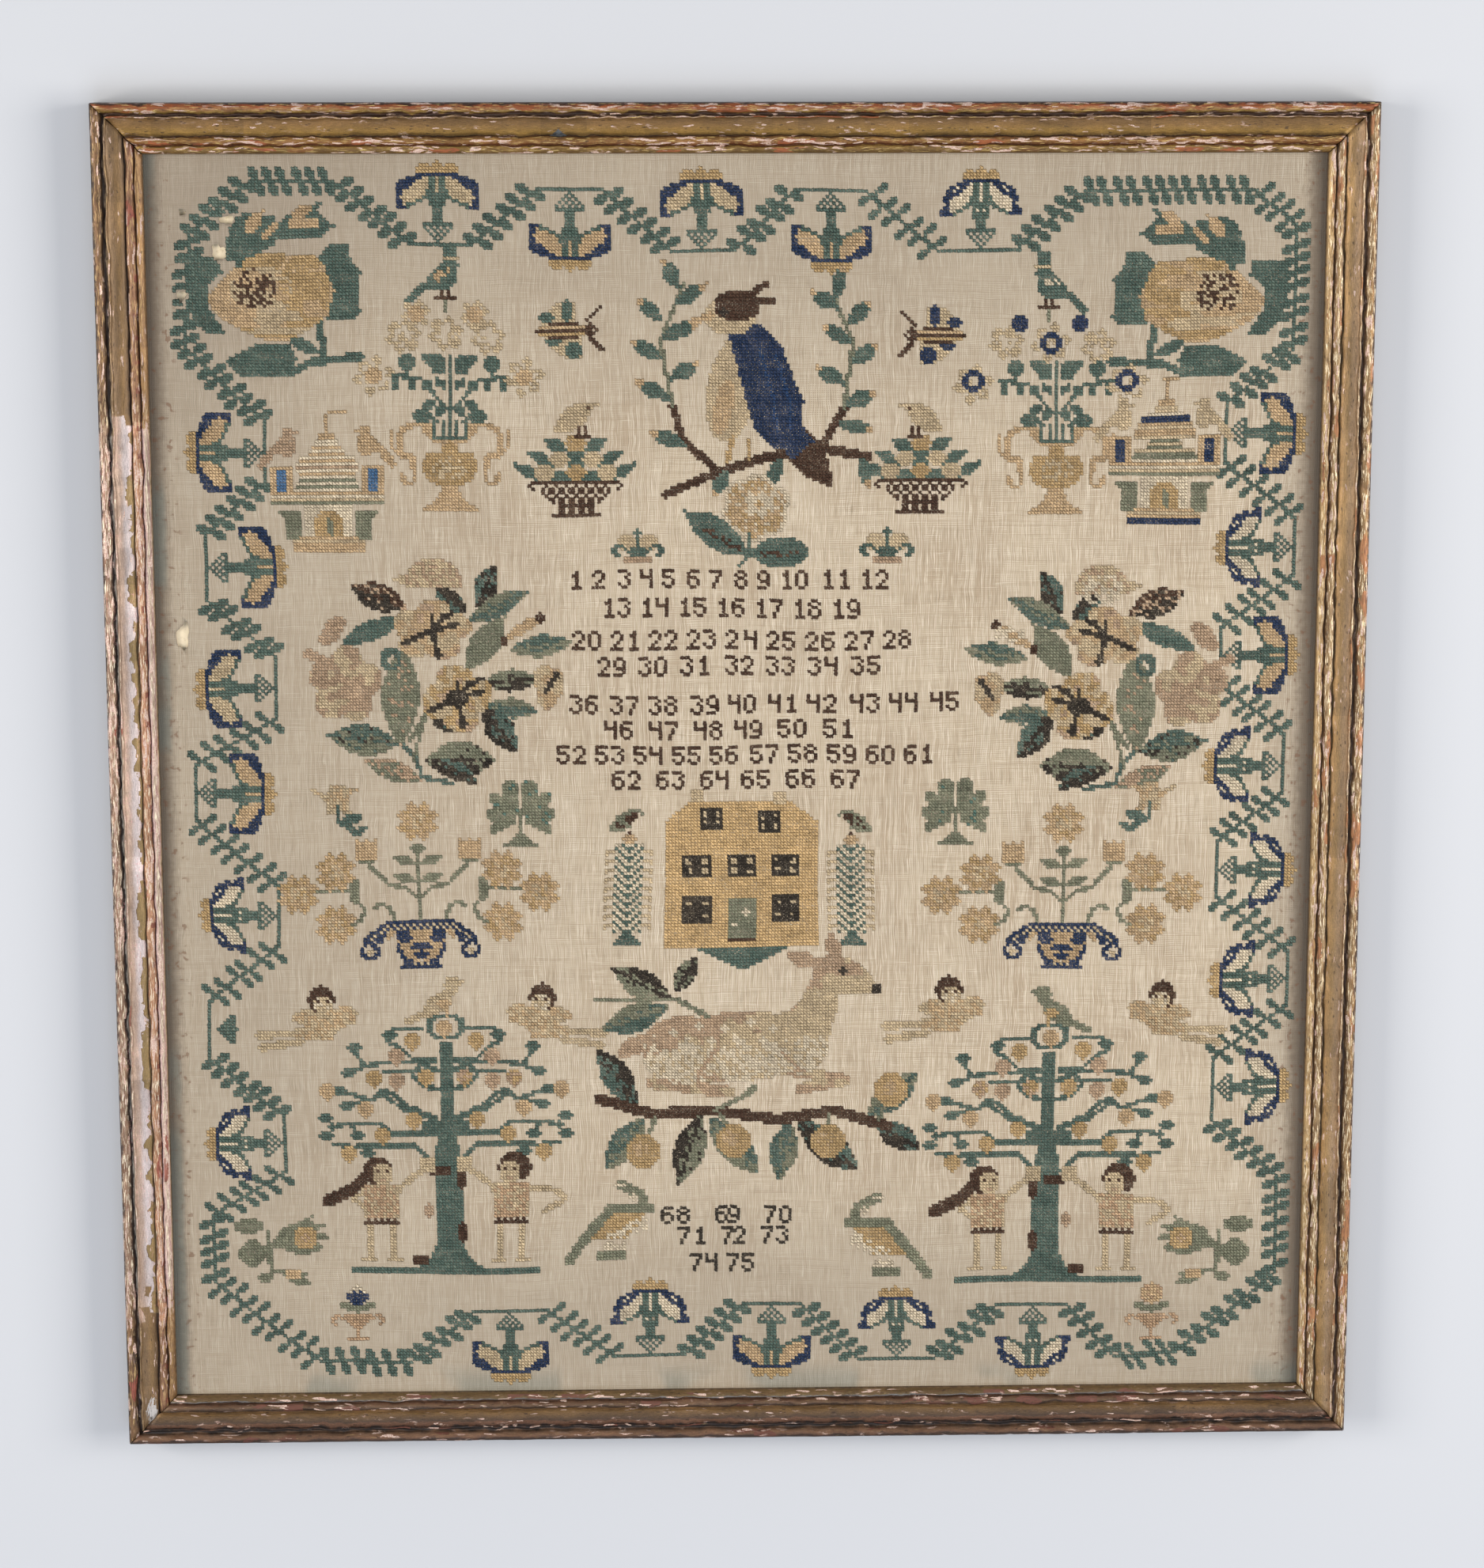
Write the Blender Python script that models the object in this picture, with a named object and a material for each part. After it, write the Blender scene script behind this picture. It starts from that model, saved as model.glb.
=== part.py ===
"""Framed cross stitch sampler: four mitred moulding rails, the worked cloth and its backing board.

The frame lies on its back. +X is the picture's right, +Y is its top and +Z comes out of its
face. The origin is the middle of the frame's back. Lengths are in metres.
"""

import math

import bmesh
import bpy
from mathutils import Matrix

MM = 0.001

# Driving dimensions
FRAME_WIDTH = 447 * MM
FRAME_HEIGHT = 484 * MM
REBATE_WALL = 12.5 * MM
REBATE_DEPTH = 9.9 * MM
EDGE_HEIGHT = 14.0 * MM
BOARD_THICKNESS = 6.0 * MM
BOARD_BEVEL = 0.6 * MM
CLOTH_THICKNESS = 1.0 * MM
PUCKER_HEIGHT = 0.75 * MM
PUCKER_FADE = 14 * MM
CLOTH_COLUMNS = 40
CLOTH_ROWS = 44
GAP = 0.3 * MM

# The moulding, read from the outer edge to the sight edge: each member's width, how far its
# middle bulges above (or sinks below) its ends, the height where it ends, and its steps.
MOULDING = [
    {"member": "outer bead", "width": 3.6, "bulge": 1.7, "end_height": 13.9, "steps": 7},
    {"member": "outer groove", "width": 1.2, "bulge": -0.7, "end_height": 14.1, "steps": 4},
    {"member": "arris", "width": 0.6, "bulge": 0.4, "end_height": 14.0, "steps": 3},
    {"member": "cove", "width": 5.7, "bulge": -1.1, "end_height": 13.5, "steps": 8},
    {"member": "inner groove", "width": 0.6, "bulge": -0.6, "end_height": 13.2, "steps": 3},
    {"member": "reed", "width": 2.8, "bulge": 1.2, "end_height": 12.9, "steps": 6},
    {"member": "quirk", "width": 0.4, "bulge": -0.4, "end_height": 12.8, "steps": 2},
    {"member": "sight ovolo", "width": 2.6, "bulge": 0.8, "end_height": 11.7, "steps": 5},
]
RAIL_WIDTH = sum(row["width"] for row in MOULDING) * MM

# Worn holes in the cloth: the middle of each, its half sizes and how deep its notch is.
HOLES = [
    {"name": "hole_corner", "x": -180.4, "y": 190.9, "half_width": 2.5, "half_height": 3.1, "notch": 0.30},
    {"name": "hole_edge", "x": -194.0, "y": 175.7, "half_width": 1.6, "half_height": 1.9, "notch": 0.15},
    {"name": "hole_upper", "x": -177.4, "y": 202.0, "half_width": 2.3, "half_height": 1.7, "notch": 0.20},
    {"name": "hole_small", "x": -193.0, "y": 204.6, "half_width": 1.2, "half_height": 1.1, "notch": 0.10},
    {"name": "hole_side", "x": -196.5, "y": 56.3, "half_width": 2.2, "half_height": 5.0, "notch": 0.25},
]

# Each rail's length along its outer edge, the distance of that edge and its turn about +Z.
RAILS = [
    {"name": "rail_bottom", "length": FRAME_WIDTH, "reach": FRAME_HEIGHT / 2, "turn": 0},
    {"name": "rail_right", "length": FRAME_HEIGHT, "reach": FRAME_WIDTH / 2, "turn": 90},
    {"name": "rail_top", "length": FRAME_WIDTH, "reach": FRAME_HEIGHT / 2, "turn": 180},
    {"name": "rail_left", "length": FRAME_HEIGHT, "reach": FRAME_WIDTH / 2, "turn": 270},
]

REBATE_WIDTH = FRAME_WIDTH - 2 * REBATE_WALL
REBATE_HEIGHT = FRAME_HEIGHT - 2 * REBATE_WALL
SIGHT_WIDTH = FRAME_WIDTH - 2 * RAIL_WIDTH
SIGHT_HEIGHT = FRAME_HEIGHT - 2 * RAIL_WIDTH
CLOTH_TOP = REBATE_DEPTH - GAP
CLOTH_UNDERSIDE = CLOTH_TOP - CLOTH_THICKNESS
BOARD_TOP = CLOTH_UNDERSIDE - GAP


def material(name, colour, roughness, metallic=0.0):
    """A plain Principled finish."""
    finish = bpy.data.materials.new(name)
    finish.use_nodes = True
    shader = finish.node_tree.nodes["Principled BSDF"]
    shader.inputs["Base Color"].default_value = (*colour, 1.0)
    shader.inputs["Roughness"].default_value = roughness
    shader.inputs["Metallic"].default_value = metallic
    return finish


def make_object(name, mesh, finish):
    """An object of one sub-part, in the scene, with its finish."""
    piece = bpy.data.objects.new(name, mesh)
    bpy.context.collection.objects.link(piece)
    mesh.materials.append(finish)
    return piece


def member_points(start, start_height, member):
    """The points of one moulding member after its first: a half ellipse over its chord."""
    points = []
    for step in range(1, member["steps"] + 1):
        angle = math.pi * step / member["steps"]
        share = (1 - math.cos(angle)) / 2
        chord = start_height + share * (member["end_height"] * MM - start_height)
        height = chord + member["bulge"] * MM * math.sin(angle)
        points.append((start + share * member["width"] * MM, height))
    return points


def rail_section():
    """The rail's outline as (distance in from the outer edge, height above the back)."""
    outline = [(0.0, 0.0), (0.0, EDGE_HEIGHT)]
    for member in MOULDING:
        outline += member_points(*outline[-1], member)
    outline += [(RAIL_WIDTH, REBATE_DEPTH), (REBATE_WALL, REBATE_DEPTH), (REBATE_WALL, 0.0)]
    return outline


def make_rail(name, length, reach, turn, finish):
    """One rail: the section run along its edge, each end cut back along its 45 degree mitre."""
    mitre_clearance = GAP / math.sqrt(2)
    rail = bmesh.new()
    near_end = [
        rail.verts.new((-length / 2 + inward + mitre_clearance, inward - reach, height))
        for inward, height in rail_section()
    ]
    near_face = rail.faces.new(near_end)
    run = bmesh.ops.extrude_face_region(rail, geom=[near_face], use_keep_orig=True)
    for vertex in run["geom"]:
        if isinstance(vertex, bmesh.types.BMVert):
            vertex.co.x = -vertex.co.x
    bmesh.ops.recalc_face_normals(rail, faces=rail.faces)
    bmesh.ops.rotate(rail, matrix=Matrix.Rotation(math.radians(turn), 3, "Z"), verts=rail.verts)
    mesh = bpy.data.meshes.new(name)
    rail.to_mesh(mesh)
    rail.free()
    piece = make_object(name, mesh, finish)
    mesh.shade_smooth()
    mesh.set_sharp_from_angle(angle=math.radians(35))
    return piece


def pucker(x, y):
    """How far the cloth stands off its board: crossed shallow waves that fade to its edges."""
    from_edge = min(SIGHT_WIDTH / 2 - abs(x), SIGHT_HEIGHT / 2 - abs(y))
    fade = min(max(from_edge / PUCKER_FADE, 0.0), 1.0)
    long_waves = math.sin(17 * x + 9 * y + 0.6) + math.sin(23 * y - 11 * x + 2.1)
    short_waves = math.sin(61 * x + 1.3) * math.sin(38 * y + 0.4)
    return PUCKER_HEIGHT * fade * (0.5 + 0.18 * long_waves + 0.14 * short_waves)


def hole_cutter(name, x, y, half_width, half_height, notch):
    """A notched oval pillar that takes a worn hole out of the cloth."""
    sides = 14
    cutter = bmesh.new()
    ring = []
    for side in range(sides):
        angle = 2 * math.pi * side / sides
        worn = 1 + 0.14 * math.sin(3 * angle + x) - notch * max(0.0, math.sin(angle)) ** 6
        across = x + half_width * worn * math.cos(angle)
        along = y + half_height * worn * math.sin(angle)
        ring.append(cutter.verts.new((across * MM, along * MM, 0.0)))
    cap = cutter.faces.new(ring)
    run = bmesh.ops.extrude_face_region(cutter, geom=[cap], use_keep_orig=True)
    for vertex in run["geom"]:
        if isinstance(vertex, bmesh.types.BMVert):
            vertex.co.z = 20 * MM
    bmesh.ops.recalc_face_normals(cutter, faces=cutter.faces)
    mesh = bpy.data.meshes.new(name)
    cutter.to_mesh(mesh)
    cutter.free()
    piece = bpy.data.objects.new(name, mesh)
    bpy.context.collection.objects.link(piece)
    piece.hide_render = True
    piece.display_type = "WIRE"
    return piece


def make_cloth(finish):
    """The worked cloth: one puckered sheet in the rebate, with its worn holes cut through."""
    width = REBATE_WIDTH - 2 * GAP
    height = REBATE_HEIGHT - 2 * GAP
    sheet = bmesh.new()
    bmesh.ops.create_grid(sheet, x_segments=CLOTH_COLUMNS, y_segments=CLOTH_ROWS, size=0.5)
    for vertex in sheet.verts:
        vertex.co.x *= width
        vertex.co.y *= height
        vertex.co.z = CLOTH_UNDERSIDE + pucker(vertex.co.x, vertex.co.y)
    mesh = bpy.data.meshes.new("sampler_cloth")
    sheet.to_mesh(mesh)
    sheet.free()
    mesh.shade_smooth()
    cloth = make_object("sampler_cloth", mesh, finish)
    body = cloth.modifiers.new("thickness", "SOLIDIFY")
    body.thickness = CLOTH_THICKNESS
    body.offset = 1.0
    for row in HOLES:
        cut = cloth.modifiers.new(row["name"], "BOOLEAN")
        cut.operation = "DIFFERENCE"
        cut.solver = "EXACT"
        cut.object = hole_cutter(**row)
    return cloth


def make_board(finish):
    """The backing board: a flat panel in the rebate behind the cloth, its edges eased."""
    board = bmesh.new()
    bmesh.ops.create_cube(board, size=1.0)
    size = (REBATE_WIDTH - 2 * GAP, REBATE_HEIGHT - 2 * GAP, BOARD_THICKNESS)
    bmesh.ops.scale(board, vec=size, verts=board.verts)
    middle = (0.0, 0.0, BOARD_TOP - BOARD_THICKNESS / 2)
    bmesh.ops.translate(board, vec=middle, verts=board.verts)
    mesh = bpy.data.meshes.new("backing_board")
    board.to_mesh(mesh)
    board.free()
    panel = make_object("backing_board", mesh, finish)
    edges = panel.modifiers.new("eased edges", "BEVEL")
    edges.width = BOARD_BEVEL
    edges.segments = 2
    return panel


def main():
    for old in list(bpy.data.objects):
        bpy.data.objects.remove(old, do_unlink=True)
    gilding = material("worn_gilding", (0.30, 0.19, 0.075), 0.45, 0.35)
    linen = material("beige_linen", (0.58, 0.48, 0.34), 0.9)
    cream_card = material("cream_card", (0.76, 0.62, 0.42), 0.85)
    for row in RAILS:
        make_rail(**row, finish=gilding)
    make_cloth(linen)
    make_board(cream_card)


main()
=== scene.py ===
# %% [markdown]
# # A framed cross stitch sampler
#
# The real object is a piece of open linen, worked all over with small silk crosses and held flat in
# a narrow gilded moulding. It lies on its back here: +X is the picture's right, +Y is its top and +Z
# comes out of its face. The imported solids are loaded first, because they say where everything goes.

# %% Load the frame
import math

import bpy
import numpy as np
from mathutils import Matrix, Vector


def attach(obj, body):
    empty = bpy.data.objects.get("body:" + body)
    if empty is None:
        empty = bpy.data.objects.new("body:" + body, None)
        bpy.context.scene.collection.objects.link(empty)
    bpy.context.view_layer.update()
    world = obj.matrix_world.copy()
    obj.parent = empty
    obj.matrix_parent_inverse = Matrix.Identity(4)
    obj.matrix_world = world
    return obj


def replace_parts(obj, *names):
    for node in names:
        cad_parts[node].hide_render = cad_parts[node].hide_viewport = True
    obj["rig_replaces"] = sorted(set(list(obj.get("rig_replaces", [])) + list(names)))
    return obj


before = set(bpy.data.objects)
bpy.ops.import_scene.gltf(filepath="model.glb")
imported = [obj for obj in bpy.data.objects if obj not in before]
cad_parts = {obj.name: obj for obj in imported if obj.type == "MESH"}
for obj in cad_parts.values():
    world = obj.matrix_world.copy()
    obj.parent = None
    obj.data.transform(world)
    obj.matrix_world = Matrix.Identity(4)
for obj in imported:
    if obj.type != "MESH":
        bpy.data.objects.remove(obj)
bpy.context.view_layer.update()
MM = 0.001

# %% [markdown]
# Three small helpers serve every piece. Colours are written as sRGB hex values, as a dyer's card would
# give them, and are turned to the linear light that shaders mix in. Shapes are grids of points that
# numpy works out whole, so one function turns a grid into a mesh. One function adds a shader node.

# %% Colour helper
def linear(hex_colour):
    """Linear RGBA of an sRGB hex colour: c / 12.92 in the deep shadows, else ((c + 0.055) / 1.055) ^ 2.4."""
    srgb = np.array([int(hex_colour[i : i + 2], 16) for i in (1, 3, 5)]) / 255
    light = np.where(srgb <= 0.04045, srgb / 12.92, ((srgb + 0.055) / 1.055) ** 2.4)
    return (*light.tolist(), 1.0)


print("old gold in linear light:", [round(c, 3) for c in linear("#a08448")])


# %% Mesh helper
def grid_faces(rows, columns, loop=False):
    """Quads between neighbours of a rows by columns grid; loop joins the last column to the first."""
    index = np.arange(rows * columns).reshape(rows, columns)
    if loop:
        index = np.concatenate([index, index[:, :1]], axis=1)
    corners = (index[:-1, :-1], index[:-1, 1:], index[1:, 1:], index[1:, :-1])
    return np.stack(corners, axis=-1).reshape(-1, 4)


def make_piece(name, points, faces, smooth=True):
    """One object at the origin from an (n, 3) array of points and its faces, with no Python loop."""
    mesh = bpy.data.meshes.new(name)
    mesh.from_pydata(points.reshape(-1, 3), [], faces)
    mesh.update()
    mesh.polygons.foreach_set("use_smooth", np.full(len(mesh.polygons), smooth))
    piece = bpy.data.objects.new(name, mesh)
    bpy.context.scene.collection.objects.link(piece)
    return piece


def store(piece, name, values, kind="FLOAT"):
    """Keeps one value, or one colour, for each point as an attribute that a material can read."""
    attribute = piece.data.attributes.new(name, kind, "POINT")
    key = "color" if kind == "FLOAT_COLOR" else "value"
    attribute.data.foreach_set(key, np.ascontiguousarray(values, dtype=np.float32).ravel())


print("a 3 by 4 grid has", len(grid_faces(3, 4)), "quads")


# %% Node helper
def new_material(name):
    """A named material, emptied but for its output, and its node tree."""
    material = bpy.data.materials.new(name)
    material.use_nodes = True
    material.node_tree.nodes.remove(material.node_tree.nodes["Principled BSDF"])
    return material, material.node_tree


def node(tree, kind, inputs, out=0, **settings):
    """Adds a shader node with its settings; each input is a value or another node's output."""
    made = tree.nodes.new("ShaderNode" + kind)
    for name, value in settings.items():
        setattr(made, name, value)
    for socket, value in inputs.items():
        if isinstance(value, bpy.types.NodeSocket):
            tree.links.new(value, made.inputs[socket])
        else:
            made.inputs[socket].default_value = value
    return made.outputs[out]


def finish_material(tree, shader):
    """Sends a shader to the material's output."""
    tree.links.new(shader, tree.nodes["Material Output"].inputs["Surface"])


# %% [markdown]
# ## Camera, floor and light
#
# The camera is a long lens almost straight above the work, a little towards the picture's top, so the
# far inner sides of the bottom rail show and the top rail hides its own. The light is that of a
# studio: one big soft box at each side, which leaves a narrow shade on the linen inside both side
# rails, and a faint overhead fill. The floor is plain and pale.

# %% Camera
IMAGE_HEIGHT = 1982
CAMERA_PLACE = np.array([-40.2, 256.0, 1386.3]) * MM
AIM_POINT = np.array([1.1, 2.6, 15.0]) * MM
CAMERA_ROLL = math.radians(-0.045)
SENSOR_HEIGHT = 24.0
FOCAL_PIXELS = 4948.0

sight_line = AIM_POINT - CAMERA_PLACE
sight_line /= np.linalg.norm(sight_line)
level_right = np.cross(sight_line, (0.0, 1.0, 0.0))
level_right /= np.linalg.norm(level_right)
level_up = np.cross(level_right, sight_line)
camera_right = level_right * math.cos(CAMERA_ROLL) + level_up * math.sin(CAMERA_ROLL)
camera_up = np.cross(camera_right, sight_line)

camera = bpy.data.objects.new("studio_camera", bpy.data.cameras.new("studio_camera"))
bpy.context.scene.collection.objects.link(camera)
camera.data.sensor_fit = "VERTICAL"
camera.data.sensor_height = SENSOR_HEIGHT
camera.data.lens = SENSOR_HEIGHT * FOCAL_PIXELS / IMAGE_HEIGHT
turned = np.eye(4)
turned[:3, :4] = np.stack([camera_right, camera_up, -sight_line, CAMERA_PLACE], axis=1)
camera.matrix_world = Matrix(turned.tolist())
bpy.context.scene.camera = camera
print("lens in mm:", round(camera.data.lens, 2))

# %% Lights
def soft_box(name, place, size, watts, colour):
    """A square area light at place that faces the middle of the work."""
    light = bpy.data.lights.new(name, "AREA")
    light.shape = "SQUARE"
    light.size = size
    light.energy = watts
    light.color = linear(colour)[:3]
    lamp = bpy.data.objects.new(name, light)
    bpy.context.scene.collection.objects.link(lamp)
    lamp.location = place
    lamp.rotation_euler = Vector(place).to_track_quat("Z", "Y").to_euler()


BOX_REACH, BOX_HEIGHT = 1.35, 1.05
soft_box("soft_box_left", (-BOX_REACH, 0.15, BOX_HEIGHT), 0.9, 21.0, "#fff6ea")
soft_box("soft_box_right", (BOX_REACH, 0.15, BOX_HEIGHT), 0.9, 26.0, "#fff6ea")
soft_box("overhead_fill", (0.0, -0.9, 1.9), 1.2, 9.0, "#eef3ff")

world = bpy.data.worlds.new("studio_air")
bpy.context.scene.world = world
world.use_nodes = True
world.node_tree.nodes["Background"].inputs["Color"].default_value = linear("#dfe5ee")
world.node_tree.nodes["Background"].inputs["Strength"].default_value = 0.42
bpy.context.scene.view_settings.view_transform = "Standard"

# %% Floor
FLOOR_HALF = 4.0
floor_corners = np.array([[-1, -1, 0], [1, -1, 0], [1, 1, 0], [-1, 1, 0]]) * FLOOR_HALF
floor = make_piece("pale_floor", floor_corners, [(0, 1, 2, 3)], smooth=False)
paint, tree = new_material("matt_studio_paint")
grey = node(tree, "BsdfPrincipled", {"Base Color": linear("#c3c8d0"), "Roughness": 0.85})
finish_material(tree, grey)
floor.data.materials.append(paint)
print("floor half width in m:", FLOOR_HALF)

# %% [markdown]
# ## The gilded rails
#
# Each rail is pine, coated with gesso, a red clay called bole, and gold leaf. The section is read
# from the outer edge inwards: a bead, a deep groove, a sharp arris, a wide shallow cove, a thin
# groove, a reed, a quirk and the sight ovolo over the linen. A straight sweep of it would look new.
# Two centuries of knocks have torn the gesso, so every line of the section wanders and is chipped.
# The sweep is therefore a grid: one direction runs round the section and the other along the rail.

# %% Section of the moulding
FRAME_WIDTH, FRAME_HEIGHT = 447 * MM, 484 * MM
GAP = 0.3 * MM
REBATE_WALL, REBATE_DEPTH = 12.5 * MM, 9.9 * MM
EDGE_HEIGHT = 14.0 * MM

# Each member's width, bulge over its chord and end height in mm, its steps, and how much its crown is
# rubbed, from 0 to 1.
MOULDING = [
    {"width": 3.6, "bulge": 1.7, "end": 13.9, "steps": 9, "rub": 0.75},
    {"width": 1.2, "bulge": -0.65, "end": 14.1, "steps": 5, "rub": 0.0},
    {"width": 0.6, "bulge": 0.4, "end": 14.0, "steps": 4, "rub": 1.0},
    {"width": 5.7, "bulge": -1.1, "end": 13.5, "steps": 11, "rub": 0.0},
    {"width": 0.6, "bulge": -0.6, "end": 13.2, "steps": 4, "rub": 0.0},
    {"width": 2.8, "bulge": 1.2, "end": 12.9, "steps": 8, "rub": 0.8},
    {"width": 0.4, "bulge": -0.4, "end": 12.8, "steps": 3, "rub": 0.0},
    {"width": 2.6, "bulge": 0.8, "end": 11.7, "steps": 8, "rub": 0.45},
]
RAIL_WIDTH = sum(member["width"] for member in MOULDING) * MM


def member_section(start, start_height, member):
    """(inward, height, rub) along one member: a half ellipse laid over its sloping chord."""
    angle = np.pi * np.arange(1, member["steps"] + 1) / member["steps"]
    share = (1 - np.cos(angle)) / 2
    crown = np.sin(angle)
    inward = start + share * member["width"] * MM
    height = start_height + share * (member["end"] * MM - start_height) + member["bulge"] * MM * crown
    return np.stack([inward, height, member["rub"] * crown], axis=1)


section = [np.array([[0.0, 0.0, 0], [0.0, 0.5 * EDGE_HEIGHT, 0], [0.0, EDGE_HEIGHT, 0.3]])]
for member in MOULDING:
    section.append(member_section(*section[-1][-1, :2], member))
rebate = [(RAIL_WIDTH, REBATE_DEPTH), (REBATE_WALL, REBATE_DEPTH), (REBATE_WALL, 0.0)]
section.append(np.array([(inward, height, 0.0) for inward, height in rebate]))
section = np.concatenate(section)
print("section of", len(section), "points, rail width in mm:", round(RAIL_WIDTH / MM, 2))


# %% Uneven surfaces
def waves(x, y, seed, short, long, count=24):
    """A smooth uneven field of about unit size: the sum of sine waves of random heading and phase,
    with lengths spread between short and long."""
    rng = np.random.default_rng(seed)
    length = np.exp(rng.uniform(np.log(short), np.log(long), count))
    heading, phase = rng.uniform(0, 2 * np.pi, (2, count))
    field = np.zeros(np.broadcast(x, y).shape)
    for wave in range(count):
        along = x * np.cos(heading[wave]) + y * np.sin(heading[wave])
        field += np.sin(2 * np.pi * along / length[wave] + phase[wave])
    return field / math.sqrt(count / 2)


def ramp(value, low, high):
    """0 below low, 1 above high and an even S between them: 3t^2 - 2t^3."""
    t = np.clip((value - low) / (high - low), 0, 1)
    return t * t * (3 - 2 * t)


# %% Four mitred rails
STATIONS = 225
RAILS = [
    {"node": "rail_bottom", "length": FRAME_WIDTH, "reach": FRAME_HEIGHT / 2, "turn": 0},
    {"node": "rail_right", "length": FRAME_HEIGHT, "reach": FRAME_WIDTH / 2, "turn": 90},
    {"node": "rail_top", "length": FRAME_WIDTH, "reach": FRAME_HEIGHT / 2, "turn": 180},
    {"node": "rail_left", "length": FRAME_HEIGHT, "reach": FRAME_WIDTH / 2, "turn": 270},
]
# Where along the left rail its bare stretch sets in and where it ends, from the rail's middle in metres.
LOSS_START, LOSS_END = (-0.150, -0.110), (0.175, 0.205)
# How far the lines of the section stray and its faces swell, and how deep a knock goes, with what a
# rubbed crown adds to that.
WANDER_MM, SWELL_MM = 0.17, 0.09
KNOCK_MM, CROWN_KNOCK_MM = 0.25, 0.45


def gesso_loss(rail, along):
    """How far the gold and bole are gone, 0 to 1. The left rail lost most of its face but for its top
    fifth and its lowest tenth; the others only flake in places."""
    if rail["node"] != "rail_left":
        return 0 * along
    return ramp(along, *LOSS_START) * (1 - ramp(along, *LOSS_END))


def make_rail(rail, seed):
    """The section swept along one rail. Along runs from mitre to mitre; each point of the section
    stops short at its own 45 degree cut: half length - inward."""
    inward, height, rub = section.T[:, None, :]
    half = rail["length"] / 2 - GAP / math.sqrt(2) - inward
    along = np.linspace(-1, 1, STATIONS)[:, None] * half
    show = ramp(height, REBATE_DEPTH + 1.2 * MM, EDGE_HEIGHT - 1.5 * MM)
    inside = ramp(inward, 0.1 * MM, 1.2 * MM) * (1 - ramp(inward, RAIL_WIDTH - 1 * MM, RAIL_WIDTH))
    wander = waves(along / 3, inward, seed, 1.8 * MM, 9 * MM)
    knocks = ramp(waves(along / 2.2, inward, seed + 1, 1.6 * MM, 5 * MM), 1.25, 2.1)
    uneven = waves(along / 2, inward, seed + 2, 3 * MM, 14 * MM)
    y = inward - rail["reach"] + show * inside * WANDER_MM * MM * wander
    z = height + show * (SWELL_MM * MM * uneven - (KNOCK_MM + CROWN_KNOCK_MM * rub) * MM * knocks)
    turn = math.radians(rail["turn"])
    x_world = along * math.cos(turn) - y * math.sin(turn)
    y_world = along * math.sin(turn) + y * math.cos(turn)
    points = np.stack([x_world, y_world, z + 0 * along], axis=-1)
    piece = make_piece("gilded_" + rail["node"], points, rail_faces(len(section)))
    loss = gesso_loss(rail, along)
    for name, value in (("rub", rub), ("knocks", knocks * show), ("loss", loss * show)):
        store(piece, name, value + 0 * along)
    store(piece, "gilded", ramp(height, 1 * MM, 2 * MM) * (inward < REBATE_WALL - 1e-6) + show + 0 * along)
    unwrap = piece.data.uv_layers.new(name="along_rail")
    corners = np.array([loop.vertex_index for loop in piece.data.loops])
    # The map runs on down the outer side of the rail, so that its marks keep their proportions there.
    unrolled = np.where(inward > 0, inward, height - EDGE_HEIGHT)
    flat = np.stack([along + seed, unrolled + 0 * along], axis=-1).reshape(-1, 2)[corners]
    unwrap.data.foreach_set("uv", flat.astype(np.float32).ravel())
    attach(piece, "root")
    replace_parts(piece, rail["node"])
    return piece


def rail_faces(around):
    """Side quads of the sweep, closed round the section, and one flat cap at each mitre."""
    sides = grid_faces(STATIONS, around, loop=True)[:, ::-1].tolist()
    last = (STATIONS - 1) * around
    return sides + [list(range(around)), list(range(last + around - 1, last - 1, -1))]


rails = [make_rail(rail, seed) for seed, rail in enumerate(RAILS, start=11)]
print("rail triangles:", [sum(len(face.vertices) - 2 for face in rail.data.polygons) for rail in rails])

# %% [markdown]
# ## Gold leaf over bole and gesso
#
# Water gilding is a stack: white gesso, a thin red clay called bole and leaf a fraction of a micron
# thick. Rubbed crowns show the bole, chips show the gesso, and the hollows are painted dark, for grime
# and for shade. Wear and light both follow the section closely, so each rail has a list of colours
# across it, which holds that rail's painted light and shade as well as its wear; glints on the crowns
# are painted too. Blocky scraps and drawn out noise then break that order up along the rail, the way
# leaf laps, knocks and rubbing have.

# %% Shared shading steps
def mixed(tree, share, one, other):
    """Colour one turning to colour other as share goes from 0 to 1. Either may be a hex colour."""
    one, other = (linear(colour) if isinstance(colour, str) else colour for colour in (one, other))
    return node(tree, "Mix", {0: share, 6: one, 7: other}, out=2, data_type="RGBA")


def stepped(tree, value, low, high):
    """0 below low, 1 above high and a soft edge between, for turning noise into patches."""
    inputs = {"Value": value, "From Min": low, "From Max": high}
    return node(tree, "MapRange", inputs, interpolation_type="SMOOTHSTEP")


def rescaled(tree, value, low, high, least=0, most=1):
    """A value that goes evenly from least to most as the given one goes from low to high, and no further."""
    inputs = {"Value": value, "From Min": low, "From Max": high, "To Min": least, "To Max": most}
    return node(tree, "MapRange", inputs)


def computed(tree, operation, *values):
    """One step of arithmetic on one, two or three values, with no limit to the result."""
    return node(tree, "Math", dict(enumerate(values)), operation=operation)


def reckoned(tree, operation, one, other):
    """One sum, difference, product or largest of two values, kept within 0 and 1."""
    return node(tree, "Math", {0: one, 1: other}, operation=operation, use_clamp=True)


def both(tree, one, other):
    """The product of two shares, which is high only where both of them are."""
    return reckoned(tree, "MULTIPLY", one, other)


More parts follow.
